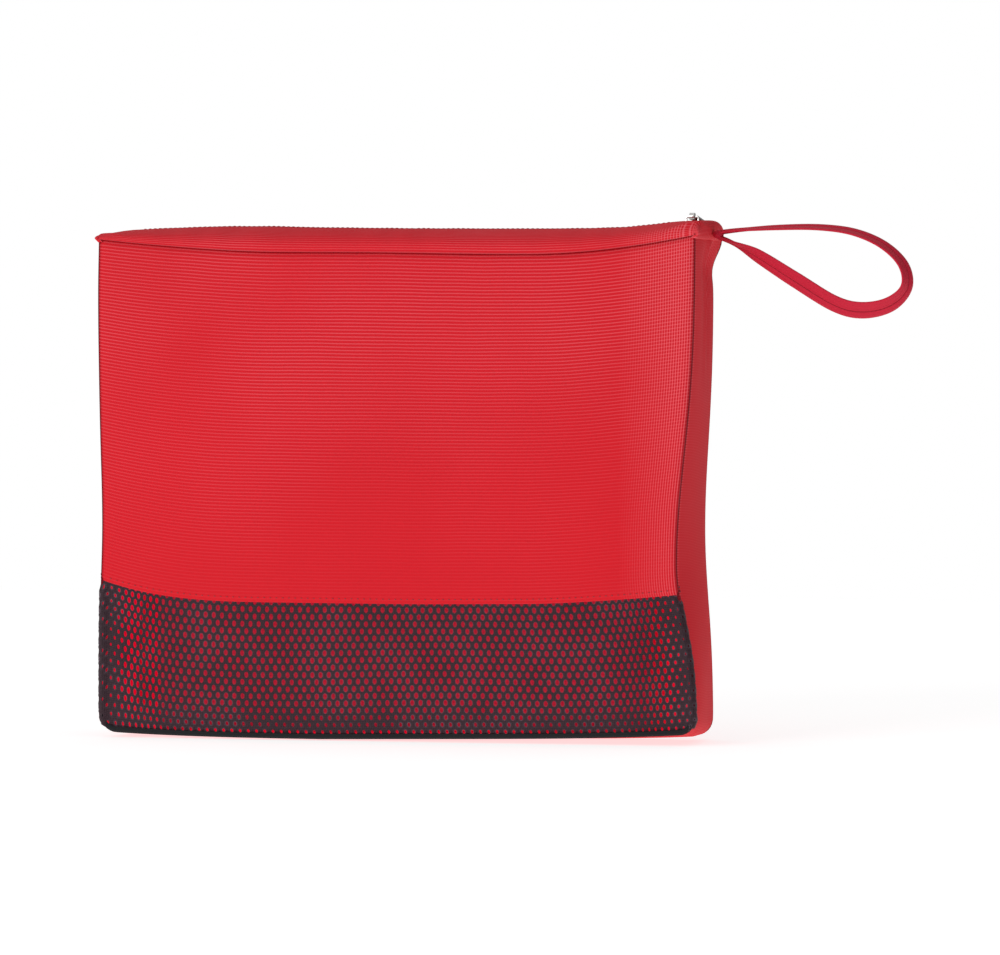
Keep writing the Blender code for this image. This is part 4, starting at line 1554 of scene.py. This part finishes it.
@dataclass
class Zip:
    """The zip: woven tapes, two interlocked rows of coil teeth and the stops at their ends."""

    shop: Workshop
    tape_top: float = 0.2565
    tape_wall: float = 0.0005
    tape_reach: float = 0.0135
    channel: float = 0.0007
    teeth_low: float = 0.2568
    teeth_high: float = 0.2588
    tooth_pitch: float = 0.0016
    tooth_length: float = 0.0034
    tooth_fill: float = 0.60
    tooth_head: float = 1.22
    tooth_edge: float = 0.00034
    interlock: float = 0.00042
    lip_end: float = 0.1383
    tail_end: float = 0.1562
    tail_bend: float = 0.1540
    tail_run: float = 0.0022
    tail_drop: float = 0.0030
    tail_narrows: tuple[float, float] = (0.1532, 0.1552)
    tape_foot: float = 0.2560
    stop_low: float = 0.1531
    stop_high: float = 0.1546
    stop_width: float = 0.0060
    stop_edge: float = 0.0004

    def tape_point(self, face: Face, x: float, share: float) -> Vector:
        """A point on the tape, flat in the slot and following the crown's underside beyond it."""
        form = self.shop.form
        y = mix(self.channel, self.tape_reach, share)
        if y <= form.slot:
            return Vector((x, face.value * y, self.tape_top + form.zip_drop(x)))
        run = (y - form.slot) / (form.half_depth - form.slot)
        drop = (form.crown_height - form.seam_height) * (1.0 - math.sqrt(max(0.0, 1.0 - run * run)))
        drop -= form.zip_drop(x)
        return Vector((x, face.value * y, self.tape_top - drop - 0.0003 * ease(form.slot, form.slot + 0.003, y)))

    def tape(self, face: Face, end: End) -> bpy.types.Object:
        """Half the length of one tape."""

        def place(u: float, v: float) -> Vector:
            """A point on the tape."""
            return self.tape_point(face, end.value * self.lip_end * closer_at_end(u), v)

        def measure(u: float, v: float) -> tuple[float, float]:
            """Metres along the tape."""
            return end.value * self.lip_end * closer_at_end(u), v * self.tape_reach

        obj = sheet_of(f"zip_tape_cloth_{face.label}_{end.label}", 60, 8, place, measure)
        face_away_from(obj, lambda centre: Vector((centre.x, centre.y, 0.1)))
        return soften(thicken(obj, self.tape_wall))

    def tooth(self) -> bpy.types.Object:
        """One turn of the coil: a rounded bar with a fuller head, reaching towards +Y."""
        height = self.teeth_high - self.teeth_low
        obj = box("tooth", (self.tooth_pitch * self.tooth_fill, self.tooth_length, height))
        for vertex in obj.data.vertices:
            if vertex.co.y > 0:
                vertex.co.x *= self.tooth_head
        return modify(obj, "BEVEL", width=self.tooth_edge, segments=2, limit_method="NONE")

    def row(self, name: str, face: Face, starts: float, stops: float) -> bpy.types.Object:
        """A row of teeth between two places along the zip. The back row is half a step along."""
        offset = 0.0 if face is Face.FRONT else self.tooth_pitch / 2
        first = math.ceil((starts - offset) / self.tooth_pitch)
        last = math.floor((stops - offset) / self.tooth_pitch)
        turn = Matrix.Rotation(math.pi if face is Face.BACK else 0.0, 4, "Z")
        middle = face.value * (self.tooth_length / 2 - self.interlock)
        height = (self.teeth_low + self.teeth_high) / 2
        runs = [index * self.tooth_pitch + offset for index in range(first, last + 1)]
        places = [Matrix.Translation((x, middle, height + self.shop.form.zip_drop(x))) @ turn for x in runs]
        return repeated(name, self.tooth(), places)

    def tape_end(self, end: End) -> bpy.types.Object:
        """The sewn-down end of both tapes, whose tail folds over the end of the pouch."""
        start, form = self.lip_end, self.shop.form

        def place(u: float, v: float) -> Vector:
            """A point on the tape's end."""
            x = mix(start, self.tail_end, u)
            across = mix(-1.0, 1.0, v)
            narrow = ease(*self.tail_narrows, x)
            reach = mix(self.tape_reach, form.slot * 0.86, narrow)
            y = across * reach
            face = Face.FRONT if across < 0 else Face.BACK
            share = (abs(y) - self.channel) / (self.tape_reach - self.channel)
            point = self.tape_point(face, end.value * x, max(share, 0.0))
            rise = max(form.ridge_height(end.value * x) - form.zip_drop(end.value * x) - self.tape_foot, 0)
            bend = self.tail_drop * max(0.0, (x - self.tail_bend) / self.tail_run) ** 2
            hump = (rise - 0.0014) * ease(self.tail_bend - 0.0040, self.tail_bend, x) - bend
            return Vector((end.value * x, y, point.z + hump))

        measure = metres(self.tail_end - start, 2 * self.tape_reach)
        obj = sheet_of(f"zip_tape_tail_{end.label}", 26, 16, place, measure)
        face_away_from(obj, lambda centre: Vector((centre.x - end.value * 0.002, centre.y, 0.1)))
        return soften(thicken(obj, self.tape_wall))

    def stop(self, end: End) -> bpy.types.Object:
        """The last teeth of an end with the crimped stop that closes them."""
        start, stop_low, stop_high = self.lip_end + 0.0008, self.stop_low, self.stop_high
        pieces = []
        for face in Face:
            span = sorted((end.value * start, end.value * (stop_low - 0.0006)))
            pieces.append(self.row(f"end_teeth_{face.name}", face, *span))
        height = self.teeth_high - self.teeth_low + 0.0002
        clamp = box("clamp", (stop_high - stop_low, self.stop_width, height))
        modify(clamp, "BEVEL", width=self.stop_edge, segments=3, limit_method="NONE")
        middle = end.value * (stop_low + stop_high) / 2
        clamp.location = (middle, 0, (self.teeth_low + self.teeth_high) / 2 + self.shop.form.zip_drop(middle))
        pieces.append(settle_transform(clamp))
        name = {End.RIGHT: "zip_top_stop_teeth", End.LEFT: "zip_bottom_stop_teeth"}[end]
        return soften(joined(name, pieces), 60.0)

    def build(self) -> None:
        """Makes and hangs the zip's pieces."""
        shop = self.shop
        for face in Face:
            for end in End:
                first = end is End.LEFT
                tape_node = (f"zip_tape_{face.label}",) if first else ()
                teeth_node = (f"zip_teeth_{face.label}",) if first else ()
                shop.hang_across(self.tape(face, end), shop.finishes.tape, face, end, "tape", *tape_node)
                span = (-self.lip_end + 0.0004, -0.0002) if first else (0.0, self.lip_end - 0.0004)
                row = self.row(f"coil_{face.label}_{end.label}", face, *span)
                shop.hang_across(row, shop.finishes.coil, face, end, "teeth", *teeth_node)
        for end in End:
            shop.hang(self.tape_end(end), shop.finishes.tape, "pouch", "tape", f"zip_tape_end_{end.label}")
            stop_node = {End.RIGHT: "zip_top_stop", End.LEFT: "zip_bottom_stop"}[end]
            shop.hang(self.stop(end), shop.finishes.coil, "pouch", "teeth", stop_node)


@dataclass
class SliderSet:
    """The slider and its pull tab: castings with every edge rounded."""

    shop: Workshop
    slider_edge: float = 0.00022
    tab_edge: float = 0.00020

    def refined(self, node: str, name: str, edge: float) -> bpy.types.Object:
        """A copy of a CAD node with its flat faces made whole and its edges rounded."""
        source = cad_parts[node]
        obj = source.copy()
        obj.data = source.data.copy()
        obj.parent = None
        obj.hide_render = obj.hide_viewport = False
        bpy.context.scene.collection.objects.link(obj)
        obj.name = obj.data.name = name
        obj.matrix_world = Matrix.Identity(4)
        tidy_normals(obj, 0.00002)
        with editing(obj):
            bpy.ops.mesh.dissolve_limited(angle_limit=math.radians(3))
        modify(obj, "BEVEL", width=edge, segments=3, limit_method="ANGLE", angle_limit=math.radians(40))
        return soften(obj, 45.0)

    def build(self) -> None:
        """Makes and hangs the castings."""
        shop = self.shop
        slider = self.refined("zip_slider", "slider_casting", self.slider_edge)
        shop.hang(slider, shop.finishes.metal, "slider", "metal", "zip_slider")
        tab = self.refined("zip_pull_tab", "pull_tab_casting", self.tab_edge)
        shop.hang(tab, shop.finishes.metal, "pull_tab", "metal", "zip_pull_tab")


@dataclass
class WristStrap:
    """The strap: cloth folded into a flat band with a fuller lower edge, looped back on itself."""

    shop: Workshop
    root: tuple[float, float] = (0.1593, 0.2540)
    half_width: float = 0.0055
    half_wall: float = 0.00085
    wrap_radii: tuple[float, float, float] = (0.0028, 0.0030, 0.0021)
    samples: int = 220
    route: tuple[tuple[float, float, float], ...] = (
        (0.0000, 0.0009, 0),
        (0.0105, 0.0021, 3),
        (0.0300, 0.0034, 8),
        (0.0520, 0.0036, 10),
        (0.0700, 0.0012, 11),
        (0.0850, -0.0052, 12),
        (0.0950, -0.0150, 13),
        (0.0965, -0.0260, 18),
        (0.0880, -0.0345, 36),
        (0.0740, -0.0375, 47),
        (0.0600, -0.0343, 50),
        (0.0400, -0.0226, 50),
        (0.0200, -0.0103, 40),
        (0.0080, -0.0042, 12),
        (0.0000, -0.0012, 0),
    )

    def centre_line(self) -> np.ndarray:
        """The strap's middle line with its twist, as evenly spaced samples of a smooth curve."""
        knots = np.array(self.route, float)
        knots = np.vstack((2 * knots[0] - knots[1], knots, 2 * knots[-1] - knots[-2]))
        dense = []
        for index in range(1, len(knots) - 2):
            before, here, ahead, beyond = knots[index - 1 : index + 3]
            for share in np.linspace(0, 1, 24, endpoint=False):
                dense.append(
                    0.5
                    * (
                        2 * here
                        + (ahead - before) * share
                        + (2 * before - 5 * here + 4 * ahead - beyond) * share**2
                        + (3 * here - before - 3 * ahead + beyond) * share**3
                    )
                )
        dense.append(knots[-2])
        dense = np.array(dense)
        runs = np.concatenate(([0.0], np.cumsum(np.linalg.norm(np.diff(dense[:, :2], axis=0), axis=1))))
        even = np.linspace(0, runs[-1], self.samples + 1)
        return np.column_stack([np.interp(even, runs, dense[:, axis]) for axis in range(3)] + [even])

    def section(self) -> list[tuple[float, float]]:
        """The folded band's outline: a flat web, a groove and a fuller rolled edge."""
        half, wall = self.half_width, self.half_wall
        web, roll = wall * 0.62, wall * 1.10
        upper = [(half, 0.0), (half * 0.985, web * 0.7), (half * 0.93, web)]
        upper += [(half * share, web) for share in (0.75, 0.5, 0.25, 0.0)]
        upper += [(-half * 0.10, web * 0.9), (-half * 0.155, wall * 0.22), (-half * 0.21, web * 0.95)]
        upper += [(-half * 0.30, roll), (-half * 0.6, roll * 1.04), (-half * 0.86, roll * 0.9)]
        upper += [(-half * 0.97, roll * 0.5)]
        lower = [(-half, 0.0)] + [(a, -b) for a, b in upper[:0:-1]]
        return upper + lower

    def band(self) -> bpy.types.Object:
        """The band swept along its route."""
        line = self.centre_line()
        outline = self.section()
        total = line[-1, 3]
        sides = len(outline)

        def place(u: float, v: float) -> Vector:
            """A point on the band's surface."""
            index = min(int(round(u * self.samples)), self.samples)
            before, ahead = line[max(index - 1, 0)], line[min(index + 1, self.samples)]
            along = Vector((ahead[0] - before[0], 0, ahead[1] - before[1])).normalized()
            broad = Vector((0, 1, 0))
            normal = along.cross(broad)
            twist = math.radians(line[index, 2])
            wide = broad * math.cos(twist) + normal * math.sin(twist)
            thick = normal * math.cos(twist) - broad * math.sin(twist)
            end = min(line[index, 3], total - line[index, 3])
            pinch = mix(0.42, 1.0, ease(0.0, 0.024, end))
            gathered = mix(1.25, 1.0, ease(0.0, 0.020, end))
            a, b = outline[int(round(v * sides)) % sides]
            centre = Vector((self.root[0] + line[index, 0], 0, self.root[1] + line[index, 1]))
            return centre + wide * (-a * pinch) + thick * (b * gathered)

        obj = sheet_of("wrist_strap_band", self.samples, sides, place, metres(total, 2 * self.half_width))
        # The groove between the flat web and the rolled edge gets painted shade through the seam mask.
        flats = [abs(b) if abs(a) < 0.9 * self.half_width else math.inf for a, b in outline + outline[:1]]
        grooves = np.isclose(flats, min(flats), rtol=0, atol=1e-7)
        obj.data.attributes["seam"].data.foreach_set("value", np.repeat(grooves, self.samples + 1).astype(float))
        with editing(obj):
            bpy.ops.mesh.remove_doubles(threshold=0.000005)
            bpy.ops.mesh.select_all(action="DESELECT")
            bpy.ops.mesh.select_non_manifold()
            bpy.ops.mesh.edge_face_add()
            bpy.ops.mesh.select_all(action="SELECT")
            bpy.ops.mesh.normals_make_consistent(inside=False)
        return soften(obj, 55.0)

    def root_wrap(self) -> bpy.types.Object:
        """The bunched cloth where both ends of the strap go into the cap's seam."""
        bpy.ops.object.select_all(action="DESELECT")
        bpy.ops.mesh.primitive_uv_sphere_add(segments=28, ring_count=14, radius=1.0)
        obj = named_new("strap_root_wrap")
        points = coordinates(obj.data)
        angle = np.arctan2(points[:, 2], points[:, 0])
        crease = 1.0 + 0.05 * np.sin(5 * angle) + 0.04 * np.sin(points[:, 1] * 9.0)
        points *= self.wrap_radii
        set_coordinates(obj.data, points * crease[:, None] + np.array([self.root[0] + 0.0002, 0, self.root[1]]))
        layer = obj.data.uv_layers.active.data
        places = np.empty(len(layer) * 2)
        layer.foreach_get("uv", places)
        layer.foreach_set("uv", places * 2 * math.pi * self.wrap_radii[0])
        return soften(obj, 80.0)

    def build(self) -> None:
        """Makes and hangs the strap."""
        shop = self.shop
        shop.hang(self.band(), shop.finishes.strap, "wrist_strap", "strap", "wrist_strap")
        shop.hang(self.root_wrap(), shop.finishes.strap, "wrist_strap", "strap")


@dataclass
class FoldedBlanket:
    """The blanket: one real sheet folded both ways, with its two pull tapes laid over the folds."""

    shop: Workshop
    flat: tuple[float, float] = (1.8, 1.2)
    panels: int = 7
    layers: int = 5
    layer_height: float = 0.2262
    half_depth: float = 0.0258
    bottom: float = 0.0030
    wall: float = 0.00045
    tape_place: float = 0.0915
    tape_width: float = 0.0245
    tape_length: float = 0.095
    tape_wall: float = 0.0014
    tape_half_run: float = 0.0168
    tape_leg: float = 0.026
    tape_bend: float = 0.0035
    tape_top: float = 0.2350
    box_half_width: float = 0.0080
    box_half_depth: float = 0.0085
    stitch_pitch: float = 0.0026

    def layer_line(self) -> list[tuple[float, float, float]]:
        """One edge of the sheet after its first folding: offset in the stack, height and length along the sheet."""
        stack = 2 * self.half_depth / self.panels
        pitch = stack / (self.layers + 1.15)
        straight, length = self.layer_height, self.flat[1]
        jitter = Random(5)
        points, run, height, up = [], 0.0, 0.0, True
        for layer in range(self.layers + 1):
            left = length - run
            reach = min(straight + jitter.uniform(-0.0016, 0.0016), left)
            steps = max(int(reach / 0.016), 2)
            offset = -stack / 2 + pitch * (layer + 0.6)
            for step in range(steps + 1):
                spot = height + (reach if up else -reach) * step / steps
                points.append((offset, spot, run + reach * step / steps))
            run += reach
            height += reach if up else -reach
            if layer == self.layers:
                break
            for step in range(1, 6):
                angle = math.pi * step / 6
                lift = pitch / 2 * math.sin(angle)
                along = offset + pitch / 2 * (1 - math.cos(angle))
                points.append((along, height + (lift if up else -lift), run + pitch / 2 * angle))
            run += math.pi * pitch / 2
            up = not up
        scale = length / points[-1][2]
        return [(offset, height, run * scale) for offset, height, run in points]

    def sheet(self) -> bpy.types.Object:
        """The folded sheet."""
        line = self.layer_line()
        stack = 2 * self.half_depth / self.panels
        radius = stack / 2
        bend = math.pi * radius
        straight = (self.flat[0] - (self.panels - 1) * bend) / self.panels
        samples = []
        for panel in range(self.panels):
            last = panel == self.panels - 1
            samples += [(panel, straight * step / 8, 0.0) for step in range(9 if last else 8)]
            if not last:
                samples += [(panel, straight, math.pi * step / 7) for step in range(7)]
        lowest = min(height for _, height, _ in line)
        wave = Random(11)
        phases = [(wave.uniform(0, 6.3), wave.uniform(14, 30), wave.uniform(0.1, 0.35)) for _ in range(4)]

        def place(u: float, v: float) -> Vector:
            """A point on the sheet after both foldings."""
            panel, run, angle = samples[int(round(u * (len(samples) - 1)))]
            offset, height, _ = line[int(round(v * (len(line) - 1)))]
            side = 1.0 if panel % 2 == 0 else -1.0
            base = -self.half_depth + stack * (panel + 0.5)
            local = offset * side
            x = side * (run - straight / 2)
            y = base + local
            if angle > 0 or run >= straight:
                reach = radius - local
                x = side * (straight / 2 + reach * math.sin(angle))
                y = base + radius - reach * math.cos(angle)
            ripple = sum(size * math.sin(x * pace + height * 19 + phase) for phase, pace, size in phases)
            sag = 0.0012 * math.sin(x * 21 + panel) + 0.0008 * math.sin(x * 57 + 2.0 * panel)
            return Vector((x, y + 0.0006 * ripple, self.bottom + 0.0016 + height - lowest + sag))

        obj = sheet_of("blanket_cloth", len(samples) - 1, len(line) - 1, place, metres(*self.flat))
        modify(obj, "SOLIDIFY", thickness=self.wall, offset=0.0, use_even_offset=False)
        return soften(obj, 80.0)

    def pull_tape(self, end: End) -> bpy.types.Object:
        """A webbing loop over the folds, whose ends go down between the layers."""
        middle = end.value * self.tape_place
        half_run, leg, bend, top = self.tape_half_run, self.tape_leg, self.tape_bend, self.tape_top

        def line(share: float) -> tuple[float, float]:
            """Depth and height along the loop's path."""
            total = 2 * (half_run - bend) + math.pi * bend + 2 * leg
            run = abs(share - 0.5) * total
            flat = half_run - bend
            sign = math.copysign(1.0, share - 0.5)
            if run < flat:
                return sign * run, top + 0.0012 * math.cos(math.pi * run / flat / 2)
            if run < flat + bend * math.pi / 2:
                angle = (run - flat) / bend
                return sign * (flat + bend * math.sin(angle)), top - bend * (1 - math.cos(angle))
            return sign * half_run, top - bend - (run - flat - bend * math.pi / 2)

        def place(u: float, v: float) -> Vector:
            """A point on the tape."""
            y, z = line(u)
            return Vector((middle + (v - 0.5) * self.tape_width, y, z))

        measure = metres(self.tape_length, self.tape_width)
        obj = sheet_of(f"pull_tape_webbing_{end.label}", 48, 8, place, measure)
        face_away_from(obj, lambda centre: Vector((centre.x, 0, 0.2)))
        modify(thicken(obj, self.tape_wall), "BEVEL", width=0.0003, segments=2, limit_method="ANGLE")
        return soften(obj)

    def tape_stitching(self, end: End) -> bpy.types.Object:
        """A cross-stitched box on top of a pull tape."""
        middle, half, depth = end.value * self.tape_place, self.box_half_width, self.box_half_depth
        top = self.tape_top + self.tape_wall
        corners = [(-half, -depth), (half, -depth), (half, depth), (-half, depth)]
        runs = list(zip(corners, corners[1:] + corners[:1])) + [(corners[0], corners[2]), (corners[1], corners[3])]
        places = []
        for start, stop in runs:
            first, last = Vector((middle + start[0], start[1], top)), Vector((middle + stop[0], stop[1], top))
            count = round((last - first).length / self.stitch_pitch)
            for index in range(count):
                spot = first.lerp(last, (index + 0.5) / count)
                spot.z -= 0.0007 * (spot.y / 0.0133) ** 2
                places.append(frame_along(spot, last - first, Vector((0, 0, 1))))
        return repeated(f"pull_tape_stitching_{end.label}", thread_stitch(0.0019, 0.00022), places)

    def build(self) -> None:
        """Makes and hangs the blanket and its tapes."""
        shop = self.shop
        sheet = shop.hang(self.sheet(), shop.finishes.blanket, "blanket", "blanket", "folded_blanket")
        with_pieces = []
        for end in End:
            tape = self.pull_tape(end)
            shop.hang(tape, shop.finishes.tape, "blanket", "tape", f"blanket_pull_tape_{end.label}")
            thread = shop.hang(self.tape_stitching(end), shop.finishes.black_thread, "blanket", "tape")
            with_pieces += [tape, thread]


@dataclass
class Studio:
    """A pale floor, soft lights and the camera."""

    aim: Vector = field(default_factory=lambda: Vector((0.0436, 0.0117, 0.1311)))
    azimuth: float = math.radians(15.0)
    elevation: float = math.radians(2.0)
    distance: float = 5.0
    view_width: float = 0.504
    floor_size: float = 3.0
    floor_tone: float = 0.62
    floor_glow: float = 0.68
    level_light: float = 0.26
    light_from_above: float = 0.42
    shade_from_right: float = 0.24
    least_light: float = 0.04

    def camera(self) -> None:
        """A long lens, a little to the right of the front and level with the pouch."""
        data = bpy.data.cameras.new("camera")
        data.sensor_width = 36.0
        data.lens = data.sensor_width * self.distance / self.view_width
        data.clip_end = 60.0
        camera = bpy.data.objects.new("camera", data)
        bpy.context.scene.collection.objects.link(camera)
        back = Vector(
            (
                math.sin(self.azimuth) * math.cos(self.elevation),
                -math.cos(self.azimuth) * math.cos(self.elevation),
                math.sin(self.elevation),
            )
        )
        camera.location = self.aim + back * self.distance
        camera.rotation_euler = (-back).to_track_quat("-Z", "Y").to_euler()
        bpy.context.scene.camera = camera

    def lamp(self, name: str, place: Sequence[float], size: float, power: float) -> None:
        """A square soft light that looks at the pouch."""
        data = bpy.data.lights.new(name, "AREA")
        data.shape = "SQUARE"
        data.size = size
        data.energy = power
        lamp = bpy.data.objects.new(name, data)
        bpy.context.scene.collection.objects.link(lamp)
        lamp.location = place
        lamp.rotation_euler = (self.aim - Vector(place)).to_track_quat("-Z", "Y").to_euler()

    def floor(self) -> None:
        """A large pale floor that gives back a little light of its own."""
        bpy.ops.object.select_all(action="DESELECT")
        bpy.ops.mesh.primitive_plane_add(size=self.floor_size, location=(0, 0, -0.0006))
        floor = named_new("floor")
        bench = Bench("pale floor")
        bench.fix(Base_Color=(*[self.floor_tone] * 3, 1.0), Roughness=0.9, Specular_IOR_Level=0.0)
        bench.fix(Emission_Color=(1.0, 1.0, 1.0, 1.0), Emission_Strength=self.floor_glow)
        floor.data.materials.append(bench.material)

    def world(self) -> None:
        """A white surround, which lights the pouch more from above and less from the right."""
        world = bpy.data.worlds.new("surround")
        world.use_nodes = True
        hand = Nodes(world.node_tree)
        seen = hand.add("LightPath").outputs["Is Camera Ray"]
        way = hand.add("SeparateXYZ", {0: hand.add("TexCoord").outputs["Generated"]})
        above = hand.math("MULTIPLY", hand.math("MAXIMUM", way.outputs["Z"], 0.0), self.light_from_above)
        aside = hand.math("MULTIPLY", hand.math("MAXIMUM", way.outputs["X"], 0.0), self.shade_from_right)
        given = hand.math("ADD", hand.math("SUBTRACT", above, aside), self.level_light)
        strength = hand.math("MAXIMUM", hand.math("MAXIMUM", given, self.least_light), seen)
        background = world.node_tree.nodes["Background"]
        background.inputs["Color"].default_value = (1.0, 1.0, 1.0, 1.0)
        world.node_tree.links.new(strength, background.inputs["Strength"])
        bpy.context.scene.world = world

    def build(self) -> None:
        """Sets the stage."""
        bpy.context.scene.view_settings.view_transform = "Standard"
        self.camera()
        self.lamp("key", (-1.5, -3.3, 1.1), 2.0, 51.0)
        self.lamp("fill", (2.2, -2.2, 0.5), 1.6, 1.5)
        self.floor()
        self.world()


def main() -> None:
    """Builds the stage and every sub-assembly in order."""
    logging.basicConfig(level=logging.INFO, format="%(message)s")
    Studio().build()
    form = PouchForm(
        half_width=0.155,
        half_depth=0.030,
        seam_height=0.246,
        crown_height=0.258,
        hem_height=0.070,
    )
    shop = Workshop(form, Finishes.make())
    for assembly in (PouchShell, MeshWindow, CrownedTop, Zip, SliderSet, WristStrap, FoldedBlanket):
        assembly(shop).build()


if __name__ == "__main__":
    main()
